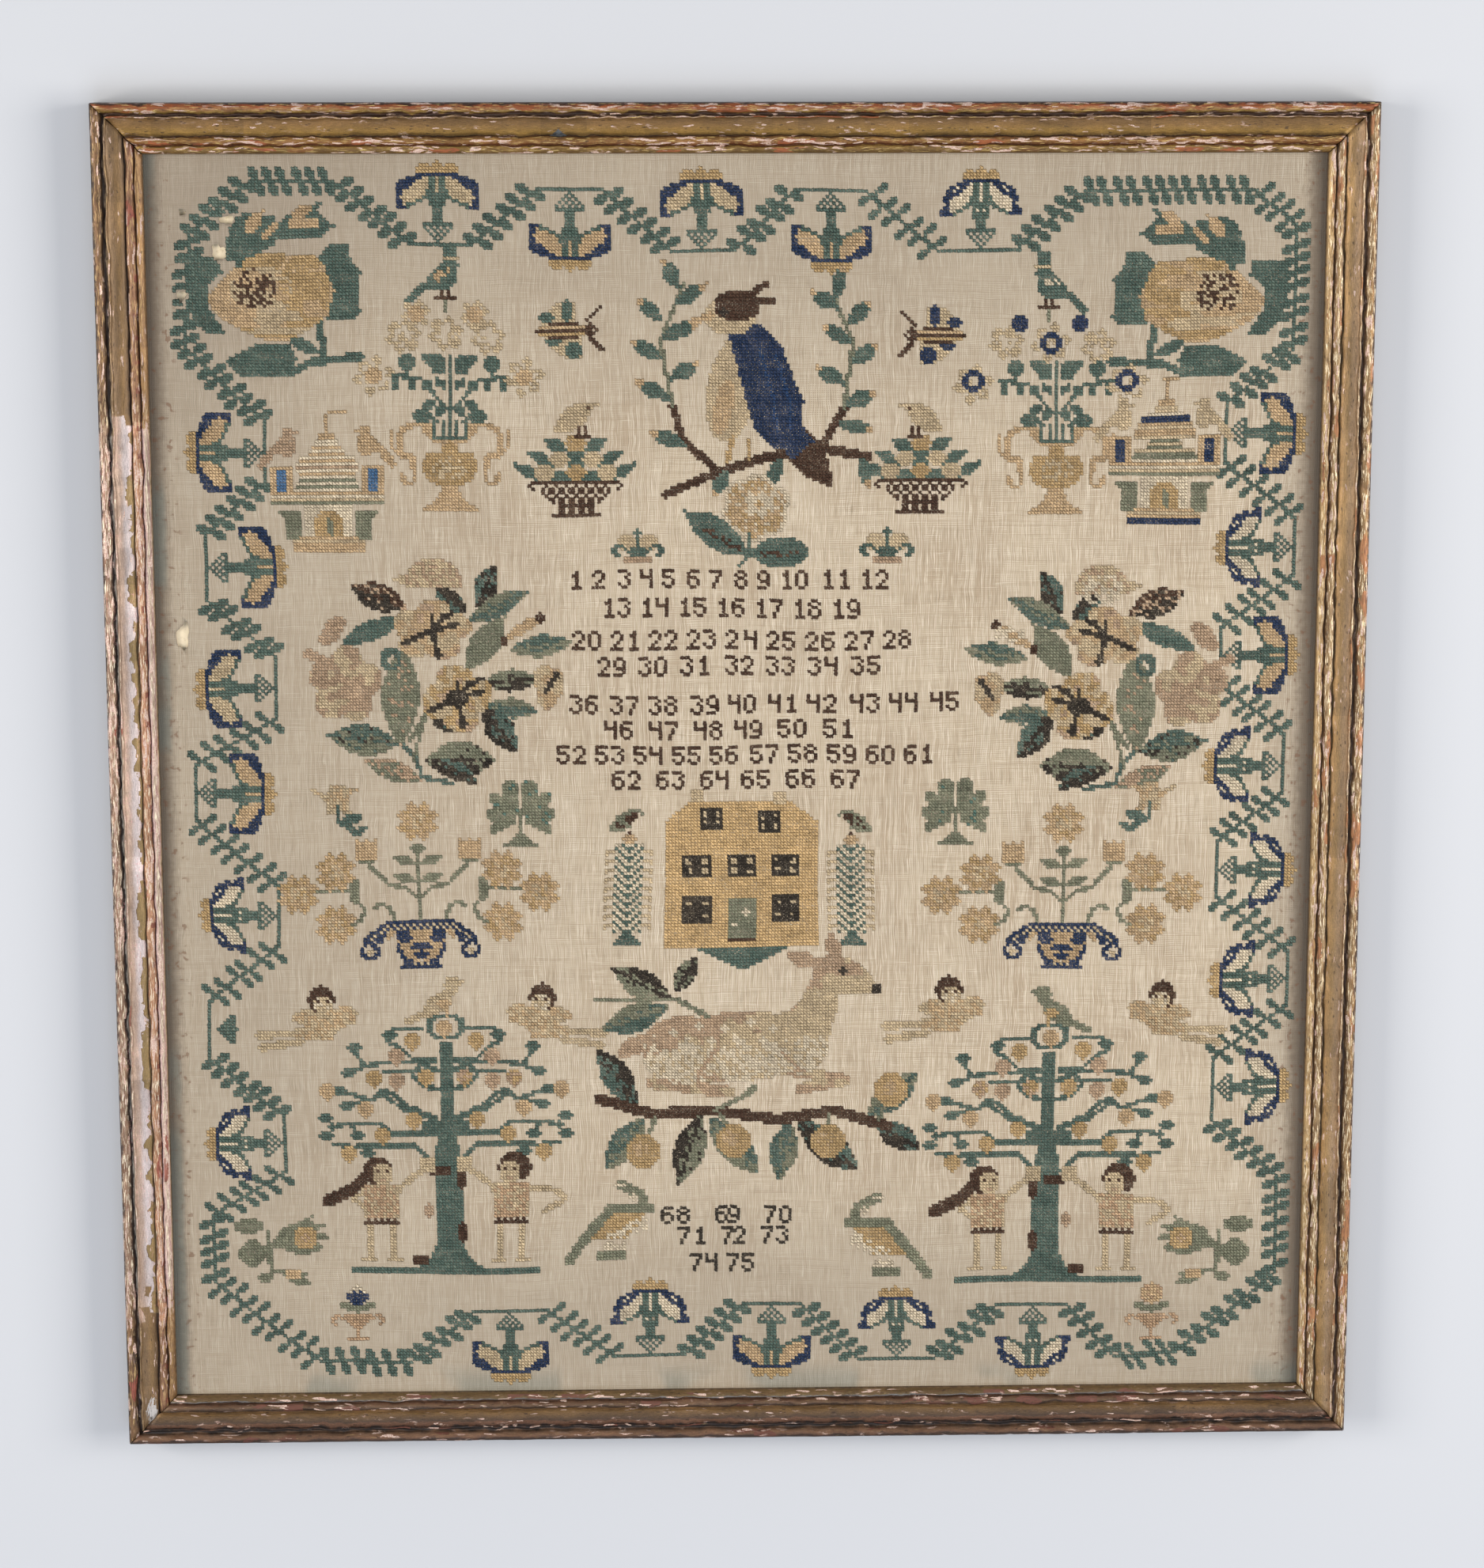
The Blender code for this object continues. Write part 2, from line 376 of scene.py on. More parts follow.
def streaks(tree, place, long_mm, wide_mm, detail=3.0, shift=0.0):
    """Noise with grains of wide_mm across the rail and long_mm along it."""
    scale = (1 / (long_mm * MM), 1 / (wide_mm * MM), 1.0)
    moved = node(tree, "Mapping", {0: place, "Location": (shift, 3 * shift, 0.0), "Scale": scale})
    return node(tree, "TexNoise", {"Vector": moved, "Scale": 1.0, "Detail": detail, "Roughness": 0.6})


def scraps(tree, place, long_mm, wide_mm, shift):
    """One random value for each blocky scrap of long_mm by wide_mm, with noise to fray its edges."""
    fray = node(tree, "TexNoise", {"Vector": place, "Scale": 1 / (0.7 * MM), "Detail": 2.0}, out=1)
    fray = node(tree, "VectorMath", {0: fray, 1: (0.25, 0.4, 0.0)}, operation="MULTIPLY")
    scale = (1 / (long_mm * MM), 1 / (wide_mm * MM), 1.0)
    moved = node(tree, "Mapping", {0: place, "Location": (shift, 2 * shift, 0.0), "Scale": scale})
    moved = node(tree, "VectorMath", {0: moved, 1: fray}, operation="ADD")
    settings = {"voronoi_dimensions": "2D", "distance": "CHEBYCHEV"}
    cell = node(tree, "TexVoronoi", {"Vector": moved, "Scale": 1.0}, out=1, **settings)
    return node(tree, "SeparateColor", {0: cell})


# %% Colours across the rails
# Each colour with its distance from the outer edge in mm: bead, groove, arris, cove, line, reed, line
# and sight ovolo. The left rail has two lists, for the stretch worn to the gesso and for the rest. Each
# list also holds painted light: it is as light as its rail is lit, the bottom one darkest, the outer
# edge is painted dark as in shadow, the grooves dark for grime and for shade, and the grey at 14.3 mm
# on the bottom rail is a painted reflection.
ACROSS = {
    "rail_top": [
        (0.0, "#3b261c"), (0.5, "#3b261c"), (0.95, "#8d4b2b"), (1.5, "#8b502e"), (2.4, "#8e6740"),
        (3.2, "#8f7439"), (3.6, "#4a3122"), (4.3, "#2e201a"), (4.75, "#4d3826"), (4.95, "#bca08a"),
        (5.2, "#715737"), (7.2, "#775a33"), (9.8, "#8d6f39"), (10.9, "#6c5530"), (11.2, "#2b1e17"),
        (11.5, "#69492d"), (12.2, "#836032"), (13.2, "#865f32"), (14.0, "#6d4022"), (14.4, "#4e2c1c"),
        (14.8, "#856833"), (15.8, "#765b2d"), (17.0, "#684e27"), (17.5, "#4a291e"),
    ],
    "rail_bottom": [
        (0.0, "#3d2f28"), (0.5, "#3d2f28"), (0.95, "#5a4132"), (1.8, "#6f523d"), (2.6, "#6b5240"),
        (3.2, "#4b3b30"), (3.5, "#2d2725"), (4.6, "#2a2423"), (5.0, "#5b4133"), (5.6, "#644838"),
        (6.1, "#4a3a2f"), (7.2, "#58442f"), (9.5, "#745834"), (10.8, "#685037"), (11.3, "#2f241d"),
        (11.7, "#4c3a2c"), (12.4, "#624c38"), (13.2, "#5f4432"), (14.0, "#3f2e26"), (14.3, "#757474"),
        (14.7, "#615136"), (15.6, "#654f32"), (17.0, "#5f4b2a"), (17.5, "#453022"),
    ],
    "rail_left": [
        (0.0, "#4b3d37"), (0.5, "#4b3d37"), (0.95, "#866957"), (1.5, "#90715e"), (2.6, "#8b735e"),
        (3.2, "#5d4639"), (3.55, "#241a16"), (4.0, "#2b201b"), (4.35, "#bdb4a6"), (4.8, "#a78f7d"),
        (6.6, "#a99487"), (8.0, "#beb3b2"), (9.6, "#beb3b4"), (10.8, "#b3a2a0"), (11.15, "#33251f"),
        (11.6, "#a47a5d"), (13.0, "#ad8264"), (14.1, "#946b51"), (14.4, "#3b231e"), (14.8, "#bba09e"),
        (15.8, "#b5a48f"), (16.6, "#a4827d"), (17.1, "#ac987b"), (17.5, "#3f2a22"),
    ],
    "left_whole": [
        (0.0, "#3f322a"), (0.5, "#3f322a"), (0.95, "#674c32"), (1.5, "#7a5b3f"), (2.6, "#664c30"),
        (3.2, "#422f20"), (3.6, "#2a1d17"), (4.2, "#3a2a20"), (4.6, "#a18b70"), (5.2, "#7d6549"),
        (6.8, "#775f43"), (8.5, "#7f6440"), (10.2, "#654e33"), (10.9, "#4c3927"), (11.2, "#2c2019"),
        (11.7, "#7d5c42"), (12.8, "#87634a"), (13.8, "#704e34"), (14.4, "#41291f"), (14.8, "#8a6940"),
        (15.8, "#91704a"), (16.8, "#81613d"), (17.5, "#4b3322"),
    ],
    "rail_right": [
        (0.0, "#513d30"), (0.5, "#513d30"), (0.95, "#86653d"), (1.4, "#93754e"), (2.4, "#896d47"),
        (3.2, "#695239"), (3.7, "#38271d"), (4.2, "#4a3426"), (4.6, "#b89f82"), (5.2, "#8d7152"),
        (6.6, "#90775a"), (8.3, "#8a6f48"), (10.2, "#82643b"), (10.9, "#6c5636"), (11.2, "#3a2a1f"),
        (11.6, "#735d43"), (12.3, "#9a815c"), (13.2, "#8b6e47"), (14.1, "#634830"), (14.4, "#3f2b1d"),
        (14.8, "#8a6c46"), (15.6, "#ad9064"), (16.8, "#ab8e63"), (17.5, "#5b4530"),
    ],
}
# How each rail is worn, and where its painted glints fall. Its colours sit inset mm further in than on
# a new section. Clay and chalk are the shares of scraps rubbed to the bole and chipped to the gesso,
# and chalk grows where the left rail has lost its face. Painted glints, in a bright colour of their own,
# light the leaf on the crowns wherever the noise is over a threshold. Bole gives the two tones of the
# clay. These tones are as light as each rail is lit, so the bottom rail's are darkest.
WEAR = {
    "rail_top": {
        "inset": 0.3, "clay": 0.11, "chalk": 0.20, "glint_threshold": 0.58, "glint_colour": "#cdb375",
        "bole": ("#7d4123", "#955530"),
    },
    "rail_bottom": {
        "inset": 0.95, "clay": 0.13, "chalk": 0.08, "glint_threshold": 0.66, "glint_colour": "#998358",
        "bole": ("#56322a", "#6b4236"),
    },
    "rail_left": {
        "inset": 0.35, "clay": 0.035, "chalk": 0.14, "glint_threshold": 0.56, "glint_colour": "#efe6cf",
        "bole": ("#75362a", "#99584a"),
    },
    "rail_right": {
        "inset": 0.5, "clay": 0.15, "chalk": 0.12, "glint_threshold": 0.56, "glint_colour": "#f7e8c8",
        "bole": ("#8a5c3c", "#a87650"),
    },
}


def colours_across(tree, inward, colours):
    """A ramp of colours over the distance from the outer edge."""
    share = both(tree, inward, 1 / RAIL_WIDTH)
    output = node(tree, "ValToRGB", {0: share})
    stops = output.node.color_ramp.elements
    for place_mm, hex_colour in colours[1:-1]:
        stops.new(place_mm * MM / RAIL_WIDTH).color = linear(hex_colour)
    stops[0].color, stops[-1].color = linear(colours[0][1]), linear(colours[-1][1])
    return output


# %% Water gilding
# The gesso cracked across the rails this far apart, and the leaf was laid in squares of this size.
CRACK_SPACING, LEAF_SQUARE = 10.5 * MM, 13 * MM
# The grey chip's place on the top rail's map, whose first number starts at the rail's seed.
CHIP_ALONG = 13 + 62.2 * MM
# The white chip's place on the left rail's map, and one over its half length and half width.
WHITE_CHIP = (14 + 230.4 * MM, 8.5 * MM, 0.0)
WHITE_CHIP_SCALE = (1 / (4.4 * MM), 1 / (1.6 * MM), 0.0)


def gilding_material(rail, wear):
    """Worn water gilding for one rail, mixed in the order that wear uncovers it."""
    material, tree = new_material("worn_water_gilding_" + rail)
    place = node(tree, "UVMap", {}, uv_map="along_rail")
    names = ("rub", "knocks", "loss", "gilded")
    rub, knocks, loss, gilded = (node(tree, "Attribute", {}, out=2, attribute_name=name) for name in names)
    broad = streaks(tree, place, 24.0, 5.0)
    fine = streaks(tree, place, 2.2, 0.6, detail=4.0, shift=0.31)
    thread = streaks(tree, place, 4.5, 0.3, shift=0.77)
    speck = streaks(tree, place, 0.6, 0.4, detail=1.0, shift=1.9)

    # Every line of the section wanders by up to half a millimetre and is frayed by half as much. The
    # gesso has cracked across at every ten millimetres or so, which leaves shallow scallops along the
    # edge of the cove.
    slow = streaks(tree, place, 40.0, 400.0, detail=1.0)
    phase = computed(tree, "MULTIPLY", node(tree, "SeparateXYZ", {0: place}), math.pi / CRACK_SPACING)
    phase = computed(tree, "MULTIPLY_ADD", slow, 7.0, phase)
    arc = computed(tree, "ABSOLUTE", computed(tree, "SINE", phase))
    scallop = streaks(tree, place, 5.0, 9.0, detail=3.0, shift=0.13)
    drift = rescaled(tree, scallop, 0, 1, -0.8 * MM, 0.8 * MM)
    rough_edge = rescaled(tree, fine, 0, 1, -0.35 * MM, 0.35 * MM)
    distance = node(tree, "SeparateXYZ", {0: place}, out=1)
    inward = computed(tree, "ADD", distance, drift)
    inward = computed(tree, "ADD", inward, rough_edge)
    near_arris = stepped(tree, distance, 7.0 * MM, 4.2 * MM)
    bow = computed(tree, "MULTIPLY", arc, near_arris)
    inward = computed(tree, "MULTIPLY_ADD", bow, 0.5 * MM, inward)
    inward = computed(tree, "SUBTRACT", inward, wear["inset"] * MM)
    colour = colours_across(tree, inward, ACROSS[rail])
    worn_away = 0.0
    if rail == "rail_left":
        torn = computed(tree, "MULTIPLY_ADD", scraps(tree, place, 9.0, 2.4, 4.4), 0.7, loss)
        worn_away = stepped(tree, torn, 0.84, 0.87)
        colour = mixed(tree, worn_away, colours_across(tree, inward, ACROSS["left_whole"]), colour)
        # Scraps of the old leaf cling to the inner side of the cove, each with a dark broken edge.
        spread = streaks(tree, place, 15.0, 400.0, detail=2.0, shift=2.3)
        spread = rescaled(tree, spread, 0.46, 0.52, 0, 1.5 * MM)
        for long_mm, rise, shift in ((6.0, 1.5 * MM, 7.7), (1.7, 0.6 * MM, 9.1)):
            step_up = stepped(tree, scraps(tree, place, long_mm, 400.0, shift), 0.35, 0.60)
            spread = computed(tree, "MULTIPLY_ADD", step_up, rise, spread)
        cling = computed(tree, "ADD", inward, spread)
        inside = stepped(tree, inward, 11.2 * MM, 11.0 * MM)
        edge = both(tree, inside, stepped(tree, cling, 11.45 * MM, 11.6 * MM))
        leafed = both(tree, inside, stepped(tree, cling, 11.65 * MM, 11.75 * MM))
        colour = mixed(tree, both(tree, edge, worn_away), colour, "#624b35")
        colour = mixed(tree, both(tree, leafed, worn_away), colour, "#85704a")
        blush = both(tree, stepped(tree, streaks(tree, place, 1.1, 0.4, shift=5.1), 0.58, 0.62), worn_away)
        blush = both(tree, blush, stepped(tree, broad, 0.5, 0.6))
        colour = mixed(tree, both(tree, blush, 0.6), colour, "#c08a90")
        # One fresh chip beside the lower mitre is bare white gesso: a frayed oval.
        from_chip = node(tree, "VectorMath", {0: place, 1: WHITE_CHIP}, operation="SUBTRACT")
        from_chip = node(tree, "VectorMath", {0: from_chip, 1: WHITE_CHIP_SCALE}, operation="MULTIPLY")
        reach = node(tree, "VectorMath", {0: from_chip}, out=1, operation="LENGTH")
        reach = computed(tree, "MULTIPLY_ADD", fine, 3.2, reach)
        white = stepped(tree, reach, 2.65, 2.55)
        colour = mixed(tree, white, colour, "#b9b5b3")
        # The reed is chipped to the red clay wherever the gesso cracked.
        tick = both(tree, stepped(tree, arc, 0.30, 0.24), stepped(tree, inward, 13.0 * MM, 13.2 * MM))
        tick = both(tree, tick, stepped(tree, inward, 14.5 * MM, 14.3 * MM))
        colour = mixed(tree, both(tree, tick, 0.8), colour, "#6d342a")

    # Leaf was laid in squares, so the flats change tone a little from lap to lap.
    along = node(tree, "Mapping", {0: place, "Scale": (1 / LEAF_SQUARE, 0.0, 1.0)})
    lap = node(tree, "TexVoronoi", {"Vector": along, "Scale": 1.0}, out=1, voronoi_dimensions="2D")
    lap = rescaled(tree, node(tree, "SeparateColor", {0: lap}), 0, 1, 0.86, 1.14)
    tone = rescaled(tree, broad, 0.3, 0.7, 0.76, 1.18)
    value = computed(tree, "MULTIPLY", lap, tone)
    hair = streaks(tree, place, 2.6, 0.2, detail=2.0, shift=3.3)
    for grain, least, most in ((speck, 0.86, 1.12), (hair, 0.72, 1.26)):
        grain = rescaled(tree, grain, 0.3, 0.7, least, most)
        value = computed(tree, "MULTIPLY", value, grain)
    colour = node(tree, "HueSaturation", {"Color": colour, "Value": value})

    crown = stepped(tree, rub, 0.28, 0.42)
    clay_scrap = stepped(tree, scraps(tree, place, 7.0, 2.6, 1.3), wear["clay"], wear["clay"] - 0.02)
    clay = both(tree, clay_scrap, crown)
    clay = both(tree, clay, stepped(tree, fine, 0.36, 0.40))
    clay_tone = mixed(tree, stepped(tree, thread, 0.42, 0.58), *wear["bole"])
    colour = mixed(tree, both(tree, clay, 0.92), colour, clay_tone)

    # Painted glints: bright streaks on the crowns of the leaf, kept off the clay, dimmer where the left rail
    # lost its face.
    painted_glint = both(tree, crown, stepped(tree, thread, wear["glint_threshold"], wear["glint_threshold"] + 0.03))
    painted_glint = both(tree, painted_glint, stepped(tree, clay, 0.6, 0.2))
    glint_colour = wear["glint_colour"]
    if rail == "rail_left":
        glint_colour = mixed(tree, loss, "#b5986a", glint_colour)
    colour = mixed(tree, both(tree, painted_glint, 0.85), colour, glint_colour)
    scratch = both(tree, crown, stepped(tree, thread, 0.44, 0.41))
    colour = mixed(tree, both(tree, scratch, 0.6), colour, "#5f4230")

    chalk_tone = mixed(tree, stepped(tree, speck, 0.4, 0.62), "#d3bfb3", "#b8958a")
    chipping = computed(tree, "MULTIPLY_ADD", loss, -0.16, scraps(tree, place, 3.4, 0.55, 2.9))
    chip = stepped(tree, chipping, wear["chalk"], wear["chalk"] - 0.02)
    chip = both(tree, chip, stepped(tree, rub, 0.15, 0.3))
    few = stepped(tree, scraps(tree, place, 1.8, 0.4, 3.7), 0.016, 0.012)
    knocked = both(tree, knocks, stepped(tree, fine, 0.52, 0.56))
    bare = reckoned(tree, "MAXIMUM", reckoned(tree, "MAXIMUM", chip, few), knocked)
    bare = both(tree, bare, stepped(tree, broad, 0.42, 0.50))
    colour = mixed(tree, both(tree, bare, 0.92), colour, chalk_tone)
    pit = stepped(tree, scraps(tree, place, 1.1, 0.35, 5.3), 0.022, 0.016)
    pit = reckoned(tree, "SUBTRACT", pit, worn_away)
    colour = mixed(tree, both(tree, pit, 0.7), colour, "#3a2a1e")
    if rail == "rail_top":
        # One deeper chip on the inner side of the cove has gone through the gesso and is grey with dirt.
        from_chip = computed(tree, "SUBTRACT", node(tree, "SeparateXYZ", {0: place}), CHIP_ALONG)
        from_chip = computed(tree, "ABSOLUTE", from_chip)
        peak = computed(tree, "MULTIPLY_ADD", from_chip, -0.85, inward)
        chipped = both(
            tree, stepped(tree, peak, 8.7 * MM, 8.9 * MM), stepped(tree, inward, 11.5 * MM, 11.3 * MM)
        )
        colour = mixed(
            tree, chipped, colour, mixed(tree, stepped(tree, fine, 0.4, 0.6), "#2e3237", "#5a5f63")
        )

    pine = mixed(tree, stepped(tree, fine, 0.4, 0.6), "#7d6345", "#5c4730")
    colour = mixed(tree, gilded, pine, colour)

    leafy = reckoned(tree, "SUBTRACT", gilded, reckoned(tree, "ADD", bare, reckoned(tree, "ADD", clay, loss)))
    metallic = both(tree, leafy, 0.35)
    rough = rescaled(tree, leafy, 0, 1, 0.75, 0.45)
    relief = node(tree, "Bump", {"Height": fine, "Strength": 0.6, "Distance": 0.25 * MM})
    relief = node(tree, "Bump", {"Height": thread, "Strength": 0.6, "Distance": 0.12 * MM, "Normal": relief})
    relief = node(tree, "Bump", {"Height": bare, "Strength": 0.6, "Distance": -0.15 * MM, "Normal": relief})
    inputs = {"Base Color": colour, "Metallic": metallic, "Roughness": rough, "Normal": relief}
    finish_material(tree, node(tree, "BsdfPrincipled", inputs))
    return material


for rail in rails:
    cad_name = rail["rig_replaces"][0]
    rail.data.materials.append(gilding_material(cad_name, WEAR[cad_name]))
print("gilding mixed for:", list(WEAR))

# %% [markdown]
# ## The linen
#
# The ground is an open plain weave of hand-spun linen, about 18 threads to the centimetre. Stretching
# and stitching have left low puckers in it and drawn its threads out of true. One function says where
# any crossing of two threads lies. The sheet and every stitch on it ask that function, so a cross
# stays in its own holes. The sheet is a grid of points with a real thickness.

# %% Lie of the threads
THREAD = 0.57 * MM
STITCH = 2 * THREAD
CLOTH_WIDTH = FRAME_WIDTH - 2 * REBATE_WALL - 2 * GAP
CLOTH_HEIGHT = FRAME_HEIGHT - 2 * REBATE_WALL - 2 * GAP
CLOTH_TOP = 9.6 * MM
PUCKER_HEIGHT, PUCKER_FADE = 0.75 * MM, 14 * MM
# How far the threads stray from the true grid, the shortest and longest waves that they stray in, and
# how high the finest wrinkles rise.
DRIFT_MM, WRINKLE_MM = 0.34, 0.05
DRIFT_WAVES = (45 * MM, 190 * MM)


def pucker(x, y):
    """Rise of the linen: 0.75 mm of slow crossing waves, eased to none in the 14 mm inside its edge."""
    from_edge = np.minimum(CLOTH_WIDTH / 2 - abs(x), CLOTH_HEIGHT / 2 - abs(y))
    fade = np.clip(from_edge / PUCKER_FADE, 0, 1)
    slow = np.sin(17 * x + 9 * y + 0.6) + np.sin(23 * y - 11 * x + 2.1)
    quick = np.sin(61 * x + 1.3) * np.sin(38 * y + 0.4)
    return PUCKER_HEIGHT * fade * (0.5 + 0.18 * slow + 0.14 * quick)


def lie(u, v):
    """(x, y, z) of the linen at thread place (u, v): the true grid, drifted by up to a millimetre in
    slow waves, on the puckers and with the finest wrinkles added."""
    inner = ramp(np.minimum(CLOTH_WIDTH / 2 - abs(u), CLOTH_HEIGHT / 2 - abs(v)), 0, 24 * MM)
    x = u + inner * DRIFT_MM * MM * waves(u, v, 31, *DRIFT_WAVES)
    y = v + inner * DRIFT_MM * MM * waves(u, v, 32, *DRIFT_WAVES)
    wrinkle = WRINKLE_MM * MM * inner * waves(u, v, 33, 7 * MM, 26 * MM)
    return np.stack([x, y, CLOTH_TOP + pucker(x, y) + wrinkle], axis=-1)


middle = lie(np.array([0.0]), np.array([0.0]))
print("threads to the cm:", round(10 * MM / THREAD, 1), "middle of the linen in mm:", (middle / MM).round(2))

# %% Sheet
SHEET_THICKNESS = 0.45 * MM
SHEET_COLUMNS, SHEET_ROWS = 129, 140
sheet_u, sheet_v = np.meshgrid(
    np.linspace(-0.5, 0.5, SHEET_COLUMNS) * CLOTH_WIDTH, np.linspace(-0.5, 0.5, SHEET_ROWS) * CLOTH_HEIGHT
)
linen = make_piece("stretched_linen", lie(sheet_u, sheet_v), grid_faces(SHEET_ROWS, SHEET_COLUMNS).tolist())
threads = linen.data.uv_layers.new(name="threads")
corners = np.array([loop.vertex_index for loop in linen.data.loops])
flat = np.stack([sheet_u, sheet_v], axis=-1).reshape(-1, 2)[corners]
threads.data.foreach_set("uv", flat.astype(np.float32).ravel())
wall = linen.modifiers.new("thickness", "SOLIDIFY")
wall.thickness = SHEET_THICKNESS
wall.offset = -1.0
print("sheet of", len(linen.data.polygons), "quads")

# %% Moth holes
# Each hole's place in mm, its half width and half height, and how much one side is torn in.
HOLES = [
    (-180.4, 190.9, 2.5, 3.1, 0.30),
    (-194.0, 175.7, 1.6, 1.9, 0.15),
    (-177.4, 202.0, 2.3, 1.7, 0.20),
    (-193.0, 204.6, 1.2, 1.1, 0.10),
    (-196.5, 56.3, 2.2, 5.0, 0.25),
]
# The heights in mm that the cutting prisms run between, well below and above the linen.
CUTTER_LEVELS = (8.0, 12.0)


def hole_cutter(index, hole):
    """A prism through the linen: its outline is an oval whose radius swells and shrinks round the turn."""
    x, y, wide, high, notch = hole
    angle = np.linspace(0, 2 * np.pi, 26, endpoint=False)
    swell = 1 + 0.16 * np.sin(3 * angle + x) + 0.12 * np.sin(2 * angle + y) + 0.07 * np.sin(7 * angle + y)
    swell -= notch * np.clip(np.sin(angle), 0, 1) ** 6
    ring = np.stack([x + wide * swell * np.cos(angle), y + high * swell * np.sin(angle)], axis=-1)
    rings = [np.c_[ring, np.full(len(ring), level)] * MM for level in CUTTER_LEVELS]
    walls = grid_faces(2, len(ring), loop=True).tolist()
    caps = [list(range(len(ring)))[::-1], list(range(len(ring), 2 * len(ring)))]
    return make_piece(f"hole_cutter_{index}", np.concatenate(rings), walls + caps, smooth=False)


cutters = [hole_cutter(index, hole) for index, hole in enumerate(HOLES)]
for cutter in cutters:
    cut = linen.modifiers.new(cutter.name, "BOOLEAN")
    cut.operation = "DIFFERENCE"
    cut.object = cutter
    cut.solver = "EXACT"
seen = bpy.context.evaluated_depsgraph_get()
whole = bpy.data.meshes.new_from_object(linen.evaluated_get(seen), depsgraph=seen)
linen.modifiers.clear()
linen.data = whole
for cutter in cutters:
    bpy.data.objects.remove(cutter, do_unlink=True)
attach(linen, "root")
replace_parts(linen, "sampler_cloth")
print("linen triangles after cutting:", sum(len(face.vertices) - 2 for face in linen.data.polygons))

# %% [markdown]
# The weave is drawn by the linen's own thread places. Sines of those places give each thread a rounded
# top, and their product says which of the two crossing threads lies above. Hand spinning leaves
# slubs, thick pale lengths, which are noise drawn out along the threads. Age adds brown stains. The
# pinholes are painted dark as shade, and near the frame the linen is painted greyer in places, with a
# grey-green tint along the left edge and the foot and the side rails' shade painted inside them.


# %% Linen weave
# The real threads lie 0.57 mm apart, too fine to show from the camera, so the drawn ones are a third wider.
DRAWN_THREAD = 2 / 3 * STITCH


